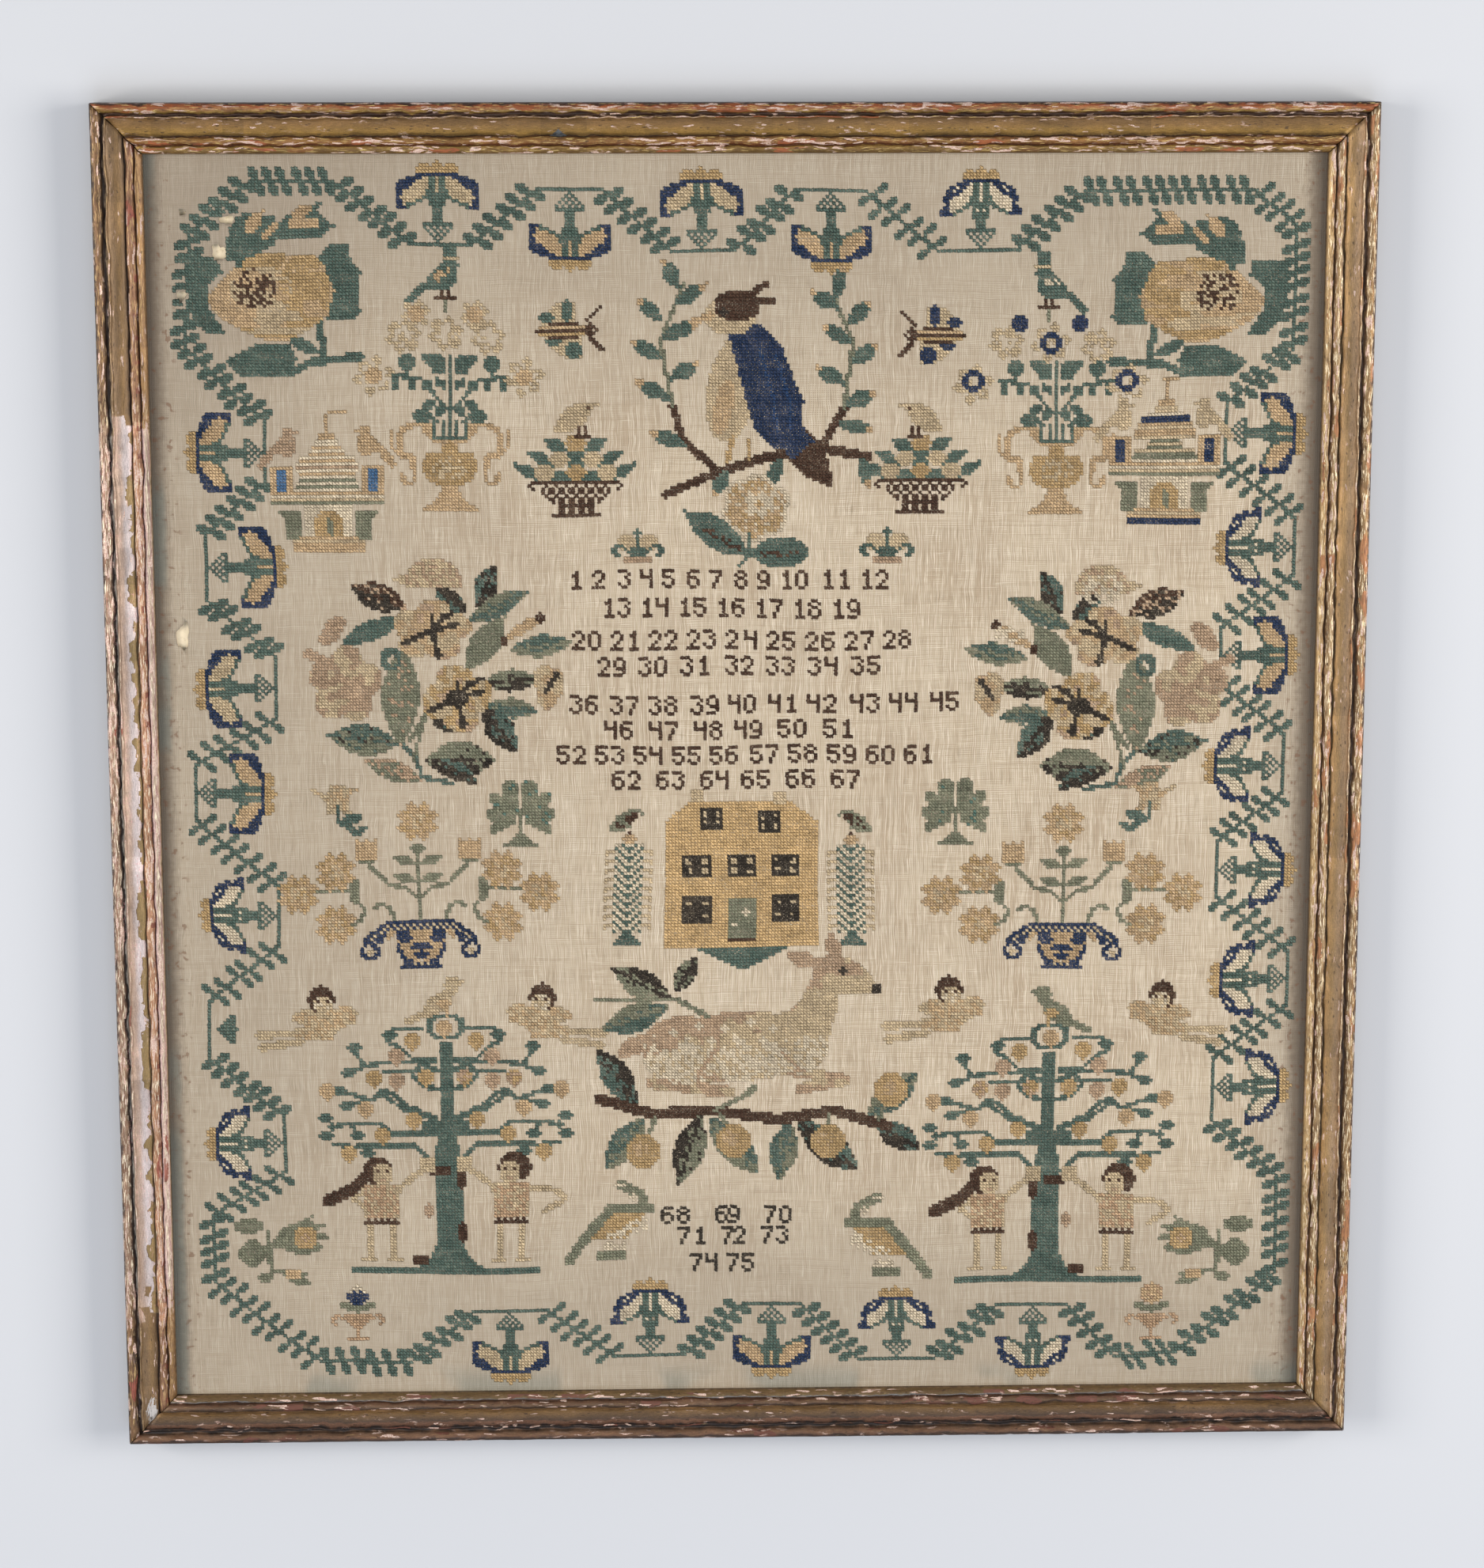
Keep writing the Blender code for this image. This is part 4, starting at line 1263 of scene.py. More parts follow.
roof_bird(spot(-115, 108), "ochre")
roof_bird(spot(-139, 108, mirrored=True), "rosewood")
roof_bird(spot(119, 115, mirrored=True), "straw")
roof_bird(spot(144, 115), "straw")
sew(stroke(spot(-126, 118), [0 + 0j, 5 + 0j], 2) | stroke(spot(131, 127), [0 + 0j, 4 + 0j], 2), "ochre")
print("crosses so far:", int((chart > 0).sum()))

# %% Baskets and winged insects
def lattice(z, step=3):
    """Squares on the crossing slanted lines of a wicker lattice."""
    return ((z.real + z.imag) % step == 0) | ((z.real - z.imag) % step == 0)


def fruit_basket(z):
    """A footed wicker basket heaped with fruit between curling leaves, and a pale bird on the top."""
    side = fold(z)
    sew((z.imag == 0) & (side.real < 8) | (z.imag == 3) & (side.real < 6), "brown")
    sew(between(z.imag, 0, 3) & (side.real < 6) & lattice(z), "brown")
    sew(between(z.imag, 3, 10) & (side.real < 3.4 + 0.95 * z.imag) & lattice(z), "brown")
    sew((z.imag == 10) & (side.real < 14) | stroke(side, [13 + 10j, 14 + 9j, 13 + 8j]), "brown")
    sew(between(z.imag, 10, 14) & (side.real < 13) | between(z.imag, 13, 20) & (side.real < 2.5), "teal")
    for root, tip in [(10 + 11j, 19 + 16j), (5 + 14j, 15 + 20j), (2 + 19j, 10 + 24j)]:
        sew(leaf(side, root, tip, 3.8), "teal")
    sew(oval(side, 5 + 17j, 3.1, 2.6) | oval(side, 9.5 + 13j, 3.4, 2.3), "straw")
    sew(oval(z, 13j, 3.1, 2.4) | oval(z, 22j, 3.1, 2.7), "gold")
    sew(leaf(z, -7 + 25j, 6 + 35j, 7) | stroke(z, [4 + 33j, 7 + 34j]), "straw")
    sew((abs(z - 4 - 33j) < 0.8) | stroke(z, [1 + 27j, 1 + 25j]) | stroke(z, [3 + 27j, 3 + 25j]), "brown")
    sew((z.imag == 24) & between(z.real, -1, 5), "brown")


def insect(z, wing):
    """A moth seen from above, flying level: a banded body, two pairs of wings and long feelers."""
    sew(
        patch(z, [-8 + 1j, -6 + 6j, -3 + 9j, 2 + 9j, 3 + 1j])
        | patch(z, [-7 - 1j, -5 - 5j, -1 - 8j, 4 - 8j, 5 - 1j]),
        "straw",
    )
    wing_spots = [(0 + 6j, 1.8, 3.6), (-6 + 4j, 2.2, 1.4), (2 - 6j, 2.5, 2.2), (-4 - 3j, 2.2, 1.3)]
    for centre, wide, high in wing_spots:
        sew(oval(z, centre, wide, high), wing)
    stripes = [(1, 7, "ochre"), (0, 8, "brown"), (-1, 7, "gold"), (-2, 4, "brown"), (2, 4, "brown")]
    bands(z + 1, [(line, line, half, silk) for line, half, silk in stripes])
    sew((abs(z - 7) < 2.2) & (abs(z - 7.6) > 0.7), "brown")
    sew(stroke(z, [6 + 3j, 10 + 7j], 1.3) | stroke(z, [7 - 3j, 11 - 6j], 1.3), "brown")


fruit_basket(spot(-51, 86))
fruit_basket(spot(56, 86, mirrored=True))
insect(spot(-53, 143), "teal")
insect(spot(60, 141, mirrored=True), "navy")
print("crosses so far:", int((chart > 0).sum()))


# %% Bird on a bough
def tipped(z, leaves, width, tip_silk="ochre", silk="teal"):
    """Leaves from root to tip whose points are worked in a second silk."""
    for root, tip in leaves:
        sew(leaf(z, root, tip, width), silk)
        sew(leaf(z, root, tip, width) & (abs(z - tip) < 0.24 * abs(tip - root)), tip_silk)


bough = spot(3, 95)
sew(stroke(bough, [36 + 9j, 22 + 12j, 6 + 9j], 3) | stroke(bough, [6 + 9j, -12 + 3j, -26 - 3j], 2.6), "brown")
sew(stroke(bough, [22 + 12j, 29 + 24j], 2.2) | stroke(bough, [-10 + 4j, -21 + 14j, -24 + 24j], 2.2), "brown")
sew(stroke(bough, [29 + 24j, 32 + 44j, 26 + 58j]) | stroke(bough, [-24 + 24j, -27 + 44j, -20 + 62j]), "moss")
LEFT_LEAVES = [
    (-24 + 26j, -36 + 32j), (-25 + 32j, -15 + 38j), (-26 + 38j, -37 + 45j), (-27 + 45j, -15 + 50j),
    (-26 + 50j, -35 + 58j), (-23 + 55j, -13 + 62j), (-21 + 60j, -27 + 70j), (-19 + 12j, -32 + 16j),
]
RIGHT_LEAVES = [
    (29 + 25j, 39 + 29j), (30 + 31j, 20 + 37j), (31 + 37j, 40 + 44j), (32 + 44j, 22 + 49j),
    (30 + 49j, 38 + 57j), (28 + 54j, 18 + 60j), (26 + 57j, 29 + 68j), (27 + 20j, 38 + 17j),
]
tipped(bough, LEFT_LEAVES + RIGHT_LEAVES, 4.6)
tipped(bough, [(-6 + 5j, -12 - 4j), (10 + 9j, 6 - 1j), (34 + 9j, 37 - 1j)], 4.2)
sew(leaf(bough, 7 + 24j, 26 - 1j, 11), "brown")
sew(patch(bough, [8 + 16j, 14 + 22j, 20 + 14j, 13 + 8j]), "navy")
sew(oval(bough, -5 + 30j, 8, 17, turn=-12), "straw")
sew(oval(bough, -8 + 24j, 3, 9, turn=-12), "ochre")
sew(patch(bough, [-7 + 48j, 2 + 50j, 10 + 42j, 17 + 26j, 16 + 14j, 8 + 11j, 2 + 17j, -2 + 30j]), "navy")
sew(stroke(bough, [3 + 42j, 8 + 26j, 9 + 17j]) | stroke(bough, [8 + 40j, 13 + 26j, 13 + 18j]), "blue")
sew(oval(bough, -6 + 52j, 7.5, 6), "straw")
sew(
    oval(bough, -4 + 55j, 7, 4.6)
    | stroke(bough, [-1 + 58j, 5 + 62j], 2)
    | stroke(bough, [0 + 56j, 7 + 57j], 2),
    "brown",
)
sew(stroke(bough, [-12 + 52j, -17 + 50j], 2.2), "ochre")
sew(abs(bough + 8 - 53j) < 1.1, "char")
sew(stroke(bough, [-5 + 15j, -7 + 7j], 1.5) | stroke(bough, [0 + 14j, 0 + 8j], 1.5), "gold")
print("crosses so far:", int((chart > 0).sum()))

# %% Double flower and small baskets
z = spot(5, 88)
double_flower = bloom(z, 0, 10.8, 6, 0.16, turn=20)
sew(double_flower, "ochre")
sew(speckled(double_flower, 0.35, 21), "gold")
sew(speckled(double_flower, 0.22, 23), "cream")
sew(
    double_flower & ~bloom(z, 0, 9.4, 6, 0.16, turn=20)
    | bloom(z, 1 + 1j, 4.6, 5, 0.5) & ~oval(z, 1 + 1j, 1.2, 1.2),
    "cream",
)
sew(stroke(squares, [3 + 80j, 3 + 73j, 0 + 70j], 1.4), "teal")
sew(
    leaf(squares, 3 + 73j, -17 + 87j, 9.5)
    | oval(squares, 13 + 74j, 8.6, 4.8)
    | stroke(squares, [3 + 74j, 6 + 74j], 3),
    "teal",
)
sew(
    speckled(stroke(squares, [0 + 75j, -11 + 82j], 2) | stroke(squares, [6 + 73j, 18 + 74j], 2), 0.5, 22),
    "brown",
)


def small_basket(z):
    """A low basket with curled handles and three lobes of flowers."""
    z = fold(z)
    sew((z.real < 5) & (z.imag < 2) & (z.imag > -1), "rosewood")
    sew(oval(z, 3.6 + 6j, 3.4, 2.8), "straw")
    sew(
        stroke(z, [0 + 2j, 3 + 3j, 5 + 5j, 7 + 5j, 8 + 3j, 6 + 2j], 1.3) | stroke(z, [0 + 3j, 0 + 10j]),
        "teal",
    )
    sew((z.real < 2) & (z.imag == 9) | (z.real < 3) & (z.imag == 4), "teal")


small_basket(spot(-32, 71))
small_basket(spot(46, 71))
print("crosses so far:", int((chart > 0).sum()))

# %% [markdown]
# A sampler also drills figures. Lines of plain numerals run across the middle, each figure charted on
# four squares by six and counted on from one line to the next.

# %% Numerals
FIGURES = [
    [".oo.", "o..o", "o..o", "o..o", "o..o", ".oo."],
    ["..o.", ".oo.", "..o.", "..o.", "..o.", ".ooo"],
    [".oo.", "o..o", "...o", "..o.", ".o..", "oooo"],
    ["ooo.", "...o", "..o.", "...o", "o..o", ".oo."],
    ["o..o", "o..o", "oooo", "...o", "...o", "...o"],
    ["oooo", "o...", "ooo.", "...o", "o..o", ".oo."],
    [".ooo", "o...", "ooo.", "o..o", "o..o", ".oo."],
    ["oooo", "...o", "..o.", "..o.", ".o..", ".o.."],
    [".oo.", "o..o", ".oo.", "o..o", "o..o", ".oo."],
    [".oo.", "o..o", "o..o", ".ooo", "...o", "ooo."],
]


# A figure takes four squares and one of space, and numerals stand three squares apart or more.
FIGURE_PITCH, LEAST_GAP = 5, 3


def numeral_line(start, end, r, count, silk):
    """Numerals from count on, as many as fit between two columns, spread evenly; returns the next one."""
    words, width = [], 0
    while width + FIGURE_PITCH * len(str(count)) - 1 + LEAST_GAP * len(words) <= end - start:
        words.append(str(count))
        width += FIGURE_PITCH * len(words[-1]) - 1
        count += 1
    gap = (end - start - width) / (len(words) - 1)
    column = start
    for word in words:
        for step, letter in enumerate(word):
            charted(spot(column + FIGURE_PITCH * step, r - 3), FIGURES[int(letter)], {"o": silk})
        column += FIGURE_PITCH * len(word) - 1 + gap
    return count


count = 1
LINES = [
    (-53, 47, 66), (-43, 38, 57), (-52, 54, 47), (-44, 44, 39), (-53, 69, 27), (-42, 36, 19), (-57, 61, 11),
    (-40, 38, 3), (-25, 17, -139), (-20, 16, -146), (-16, 5, -155),
]
for start, end, r in LINES:
    count = numeral_line(start, end, r, count, "brown" if r > -100 else "char")
print("numerals up to:", count - 1)

# %% [markdown]
# ## Motifs of the middle field
#
# Two shaded sprays of leaves and flowers flank the numerals. Below them stand a house, palms, tulips,
# clipped columns and bowls of flowers. The sprays are worked in shaded silks, so their leaves have a
# lit half, a dark half and a ragged line between, which one function counts from the leaf's axis.


# %% Shaded sprays
def shaded_leaf(z, root, tip, width, lit, dark, belly=1.0):
    """A leaf in two silks parted by its vein, with the dark one straying into the lit half."""
    shape = leaf(z, root, tip, width, belly)
    local = (z - root) / (tip - root) * abs(tip - root)
    stray = waves(local.real, 2 * local.imag, int(abs(root) + abs(tip)), 3, 12)
    sew(shape, lit)
    sew(shape & (local.imag + 1.1 * stray < -0.12 * width), dark)
    sew(shape & (abs(local.imag) < 0.6) & (stray > -0.2), dark)
    sew(speckled(shape, 0.07, 35), dark)


def shaded_flower(z, centre, wide, high, petals, silk, stamens):
    """An open flower whose petals shade from one gold to a paler one, with dark forked stamens."""
    stretched = (z - centre).real / wide + 1j * (z - centre).imag / high
    shape = bloom(stretched, 0, 1.0, petals, 0.24, turn=12)
    shade = waves(z.real, z.imag, int(abs(centre)), 4, 16)
    sew(shape, silk)
    sew(shape & (shade > 0.3), "straw")
    sew(shape & (shade < -1.1), "rosewood")
    for one, other in stamens:
        sew(shape & stroke(z, [centre + one, centre + other], 1.7), "char")


SPRAY_LEAVES = [
    (-103 + 57j, -121 + 64j, 8.5, "char", "brown"),
    (-105 + 54j, -124 + 46j, 6.5, "teal", "teal"),
    (-106 + 13j, -105 + 45j, 12.0, "moss", "moss"),
    (-86 + 37j, -73 + 54j, 9.5, "moss", "moss"),
    (-82 + 57j, -76 + 71j, 7.5, "teal", "char"),
    (-86 + 52j, -65 + 63j, 7.0, "moss", "teal"),
    (-85 + 55j, -95 + 64j, 5.5, "teal", "char"),
    (-80 + 33j, -63 + 34j, 7.0, "moss", "char"),
    (-79 + 26j, -63 + 24j, 6.0, "moss", "teal"),
    (-80 + 26j, -70 + 11j, 8.5, "teal", "char"),
    (-72 + 43j, -52 + 46j, 7.0, "teal", "moss"),
    (-106 + 14j, -129 + 17j, 9.5, "moss", "teal"),
    (-99 + 3j, -118 + 9j, 6.5, "moss", "rosewood"),
    (-99 + 9j, -76 + 9j, 11.5, "moss", "char"),
    (-94 + 9j, -82 + 2j, 5.5, "teal", "char"),
    (-98 + 25j, -87 + 17j, 5.0, "teal", "char"),
]
FORKS = [
    (0j, 4 + 5j), (0j, -9 - 4j), (0j, 0 + 5j), (0j, 2 - 9j), (3 - 8j, 1 - 9j), (0j, 8 + 2j),
    (4 + 4j, 8 + 7j),
]


def spray(z):
    """The whole spray: stems and leaves first, with the flowers worked over their roots."""
    sew(stroke(z, [-107 + 15j, -101 + 10j, -100 + 4j, -90 + 2j]), "teal")
    sew(stroke(z, [-102 + 9j, -99 + 20j, -96 + 28j]) | stroke(z, [-103 + 15j, -97 + 24j]), "moss")
    for root, tip, width, lit, dark in SPRAY_LEAVES:
        shaded_leaf(z, root, tip, width, lit, dark)
    sew(speckled(leaf(z, -103 + 57j, -121 + 64j, 7.0), 0.3, 36), "rosewood")
    sew(speckled(leaf(z, -106 + 13j, -105 + 45j, 8.0), 0.12, 37), "rosewood")
    sew(speckled(leaf(z, -106 + 14j, -129 + 17j, 8.0), 0.12, 38), "char")
    sew((abs(z + 108.5 - 41j) < 3.4) & (abs(z + 108 - 40.5j) > 1.6), "teal")
    sew(oval(z, -95 + 64j, 9, 8.6) & (z.imag > 63) | oval(z, -104 + 66j, 3.5, 1.2), "straw")
    sew(speckled(oval(z, -95 + 64j, 9, 8.6) & (z.imag > 63), 0.35, 31), "rosewood")
    shaded_flower(z, -123 + 33j, 12, 12.5, 5, "rosewood", [])
    sew(oval(z, -133 + 42j, 3.5, 1.8, turn=-20) | oval(z, -127 + 50j, 5.5, 3, turn=52), "rosewood")
    shaded_flower(z, -96 + 50j, 12.5, 10, 5, "ochre", FORKS)
    shaded_flower(z, -88 + 28j, 11, 11, 4, "gold", FORKS)
    sew(oval(z, -88 + 28j, 4, 2.6), "char")
    shaded_flower(z, -60 + 32j, 5, 7.5, 3, "ochre", [(0j, 3 + 4j), (0j, -1 - 2j)])
    sew(leaf(z, -74 + 46j, -60 + 55j, 3.6), "ochre")
    sew((abs(z + 62 - 53.5j) < 1.6) | (abs(z + 73.5 - 46j) < 1.5), "brown")


spray(spot(0, 0))
spray(spot(18, -3, mirrored=True))
blush = spot(18, -3, mirrored=True)
sew(
    speckled(oval(blush, -95 + 65j, 7, 5), 0.6, 32) | speckled(oval(blush, -66 + 51j, 5, 2.6), 0.6, 33),
    "cream",
)
print("crosses so far:", int((chart > 0).sum()))


# %% Palms, tulips and columns
PALM_FRONDS = [
    (3 + 11j, 3 + 18j, 5.2), (4 + 10j, 8 + 14.6j, 3.6), (3 + 9j, 9.4 + 9.6j, 3.2),
    (3 + 8j, 8.4 + 5.2j, 2.9),
]


def palm(z):
    """A little palm: eight blunt fronds spread like a fan on a short stem and a foot."""
    side = fold(z)
    fronds = (side.real < 1) & between(z.imag, 2, 12)
    for root, tip, width in PALM_FRONDS:
        fronds |= stroke(side, [root, tip], width) & (side.real > 0)
    sew(fronds | between(z.imag, -1, 4) & (side.real < 5.2 - 1.3 * z.imag), "moss")
    sew(speckled(fronds, 0.08, 34), "fern")


def tulip(z):
    """A faded tulip with two curled back petals on a crooked stem."""
    petals = [
        -4 + 3j, -2 + 2j, 0 + 4j, 2 + 2j, 4 + 3j, 3 + 8j, 8 + 11j, 3 + 10j, 1 + 12j, -2 + 12j, -4 + 8j,
        -9 + 11j, -4 + 6j,
    ]
    sew(patch(z, petals) | stroke(z, [-4 + 8j, -8 + 10j], 1.5), "straw")
    sew(speckled(patch(z, petals), 0.4, 41), "ochre")
    sew(
        stroke(z, [0 + 5j, 0 + 0j, 3 - 1j, 6 - 4j, 9 - 2j, 7 - 2j], 1.5) | leaf(z, 1 + 0j, 8 + 2j, 3.2),
        "teal",
    )


def column(z):
    """A clipped column of chevrons between gold fringes, with a small brown bird on its cap."""
    side = fold(z)
    sew(between(z.imag, -1, 4) & (side.real < 4.4 - z.imag), "teal")
    sew(between(z.imag, 3, 33) & (side.real < 4.5), "cream")
    chevrons = between(z.imag, 3, 33) & (side.real < 4.5) & ((z.imag - side.real) % 3 == 0)
    sew(chevrons | (z.real == 0) & between(z.imag, 3, 33) & (z.imag % 3 == 1), "teal")
    fringe = between(z.imag, 4, 32)
    sew(
        fringe & (between(side.real, 4, 7) & (z.imag % 3 == 0) | (side.real == 7) & (z.imag % 3 != 1)),
        "straw",
    )
    sew(between(z.imag, 32, 36) & (side.real < 2.5 - abs(z.imag - 34) / 2), "ochre")
    sew(leaf(z, -7 + 36j, 3 + 43j, 5) | (abs(z - 1 - 42j) < 1.6) | stroke(z, [3 + 43j, 4 + 42j]), "moss")
    sew(speckled(leaf(z, -5 + 37j, 3 + 43j, 4), 0.5, 42) | (z == 0 + 36j), "brown")


palm(spot(-69, -18))
palm(spot(68, -18))
tulip(spot(-126, -10))
tulip(spot(129, -10, mirrored=True))
column(spot(-35, -50))
column(spot(35, -51, mirrored=True))
print("crosses so far:", int((chart > 0).sum()))


# %% Flowers in a blue bowl
# Half of the bowl, from its middle line outwards: n navy, o ochre, s straw.
BOWL = [
    "nnnnnnnnnnn........",
    "snsnsnsnsnsnn......",
    "nsnsnsnsnsnsnn.....",
    "oooonnnnoosnsnnn...",
    "oooonnnn.oonnnsnn..",
    "ooonnnnn..o.nnnsnn.",
    "oooonnno....nn.nnn.",
    "nnnoooon......nn.n.",
    "nnnnooon.....nn...n",
    "nooooonn.....n.ss.n",
    "nnnooon......nn.snn",
    "nnooonn.......nnnn.",
    ".oonnn.............",
    "snsnnn.............",
    "nnnnnnn............",
]


def blue_bowl(z):
    """A two handled bowl of latticed blue work, with star flowers on slender stems."""
    z = fold(z)
    y = z.imag
    sew(stroke(z, [0 + 14j, 0 + 39j]) | stroke(z, [0 + 21j, 4 + 25j, 9 + 26j, 16 + 34j]), "moss")
    sew(leaf(z, 0 + 33j, 8 + 35j, 2.8) | leaf(z, 0 + 27j, 8 + 29j, 2.8) | oval(z, 38j, 2.4, 1.2), "moss")
    sew(stroke(z, [8 + 15j, 9 + 19j, 12 + 20j, 14 + 19j]) | stroke(z, [20 + 25j, 33 + 25j]), "moss")
    sew(stroke(z, [20 + 28j, 20 + 22j], 2.2) | stroke(z, [20 + 22j, 17 + 19j, 18 + 15j, 21 + 14j]), "moss")
    sew(
        (abs(z.real - 16) < 3.2) & between(y, 34, 41)
        | (abs(z.real - 16) % 3 == 0) & (abs(z.real - 16) < 4) & (y == 41),
        "ochre",
    )
    sew((abs(z.real - 16) < 2.4) & (abs(y - 34) < 1), "moss")
    for star in (47j, 26 + 31j, 38 + 24j, 26 + 14j):
        sew(bloom(z, star, 6.7, 8, 0.28, turn=22), "ochre")
        sew(speckled(bloom(z, star, 6.7, 8, 0.28, turn=22), 0.3, 44), "gold")
        sew(speckled(abs(z - star) < 3.0, 0.5, 46), "straw")
    charted(z, BOWL, {"n": "navy", "o": "ochre", "s": "straw"}, half=True)


blue_bowl(spot(-101, -57))
blue_bowl(spot(102, -59))
print("crosses so far:", int((chart > 0).sum()))

# %% House
house = spot(0, -50)
sew(patch(house, [-24 - 1j, 24 - 1j, 24 + 39j, 15 + 46j, -15 + 46j, -24 + 39j]), "buff")
sew((abs(house.real + 13.5) < 2) & between(house.imag, 45, 50), "straw")
sew((abs(house.real - 12.5) < 2) & between(house.imag, 44, 49), "straw")
WINDOWS = [
    (-9, 40, 3, 3), (9, 39, 3, 3), (-14, 25, 4, 3), (0, 25, 4, 3), (14, 25, 4, 3), (-14, 11, 4, 4),
    (14, 11, 4, 4),
]
for column_place, line, wide, high in WINDOWS:
    pane = house - complex(column_place, line)
    opening = (abs(pane.real) <= wide) & (abs(pane.imag) <= high)
    sew(opening, "char")
    lit = (abs(abs(pane.real) - 0.5 * wide - 0.5) < 0.8) & (abs(abs(pane.imag) - 0.5 * high) < 0.8)
    sew(speckled(opening & lit, 0.75, 45 + line), "straw")
sew((abs(house.real) <= 4) & between(house.imag, 1, 15), "moss")
sew((abs(house.real) <= 4) & (house.imag == 1), "brown")
sew((abs(house - 1 - 10j) < 1.2) | (house == -3 + 6j) | (house == -2 + 6j), "cream")
sew(patch(house, [-16 - 1j, 17 - 1j, 0 - 9j]), "teal")
print("crosses so far:", int((chart > 0).sum()))

# %% [markdown]
# ## Motifs of the lower field
#
# The lower field holds the oldest sampler motifs: a fruit tree with a couple beneath it, worked at both
# sides, with winged children in the air over them. Each is drawn once and mirrored. The faces are the
# plainest counted ones, two eyes and at most a mouth. A hind at rest over a fruiting bough fills the middle.


# %% Fruit trees
def fruit_tree(z, bird_silk, wing_silk):
    """A tree in tiers on a bar of ground; every tier is drawn on one side and folded to the other."""
    trunk = [
        -10 + 2j, -6 + 5j, -4 + 9j, -4 + 37j, -2 + 46j, -1 + 76j, 2 + 76j, 3 + 46j, 5 + 37j, 5 + 9j, 7 + 5j,
        11 + 2j,
    ]
    sew(patch(z, trunk) | (abs(z.real) < 31) & between(z.imag, -1, 2), "teal")
    side = fold(z)
    twigs = [
        [4 + 36j, 10 + 41j, 28 + 41j, 36 + 42j],
        [0 + 45j, 17 + 45j, 20 + 49j, 30 + 49j, 37 + 48j],
        [3 + 51j, 10 + 53j, 17 + 59j, 24 + 57j, 29 + 59j, 34 + 60j],
        [3 + 50j, 12 + 53j, 19 + 58j],
        [24 + 57j, 31 + 55j],
        [2 + 60j, 7 + 61j, 10 + 65j, 8 + 68j, 3 + 67j],
        [0 + 66j, 19 + 66j],
        [3 + 69j, 12 + 69j, 19 + 69j, 25 + 68j, 28 + 73j],
        [25 + 68j, 30 + 66j],
        [30 + 49j, 28 + 45j],
        [35 + 48j, 38 + 51j],
        [35 + 48j, 38 + 45j],
        [3 + 70j, 10 + 70j, 14 + 74j, 18 + 76j],
        [7 + 80j, 16 + 80j, 17 + 78j],
    ]
    for twig in twigs:
        sew(stroke(side, twig, 1.35), "teal")
    sew((side.real < 8) & (abs(z.imag - 48) < 2) | (side.real < 18) & (abs(z.imag - 45.5) < 1), "teal")
    sew(between(side.real, 9, 29) & (abs(z.imag - 41.5) < 1), "teal")
    knots = [
        25 + 39j, 38 + 51j, 38 + 45j, 28 + 45j, 10 + 53j, 19 + 59j, 33 + 60j, 31 + 55j, 28 + 74j, 30 + 66j,
        17 + 78j,
    ]
    for knot in knots:
        sew(oval(side, knot, 2.4, 1.6), "teal")
    crown = z - 0.5 - 80.5j
    ring = (crown.real / 6.2) ** 2 + (crown.imag / 4.4) ** 2
    sew((ring < 1) & (ring > 0.5) | (abs(abs(crown.real) - 5) < 1.2) & (abs(crown.imag - 2) < 1.2), "teal")
    for silk, fruits in {
        "gold": (31 + 39j, 10 + 50j, 20 + 45j, 6 + 64j, 22 + 64j, 10 + 76j),
        "ochre": (37 + 60j, 25 + 54j, 0 + 80j),
        "rosewood": (15 + 63j, 15 + 71j),
    }.items():
        for fruit in fruits:
            near = side if fruit.real else z
            sew((abs(near - fruit) < 2.7) | (near == fruit - 3j), silk)
    dulled = between(z.imag, 58, 68) & between(z.real, 0, 25)
    sew(speckled(dulled & worked_in("gold"), 0.6, 51), "rosewood")
    bark = [
        (-2 + 33j, 4, 1.6), (5 + 30j, 1.4, 3.4), (-6 + 20j, 1.2, 3), (5 + 13j, 1.4, 3.2),
        (-9 + 4j, 2.6, 1.6),
    ]
    for place, wide, high in bark:
        sew(oval(z, place, wide, high), "brown" if wide > 1.3 else "rosewood")
    sew(leaf(z, -8 + 83j, 4 + 93j, 6) | (abs(z - 2.5 - 94j) < 2.6) | stroke(z, [4 + 95j, 6 + 95j]), bird_silk)
    sew(stroke(z, [-2 + 87j, -10 + 83j], 2.2) | stroke(z, [-10 + 83j, -12 + 82j], 2), bird_silk)
    sew(oval(z, 0 + 88j, 2.2, 1.6) | stroke(z, [1 + 86j, 1 + 84j]), wing_silk)


fruit_tree(spot(-94, -157), "straw", "ochre")
fruit_tree(spot(99, -162, mirrored=True), "moss", "gold")
print("crosses so far:", int((chart > 0).sum()))


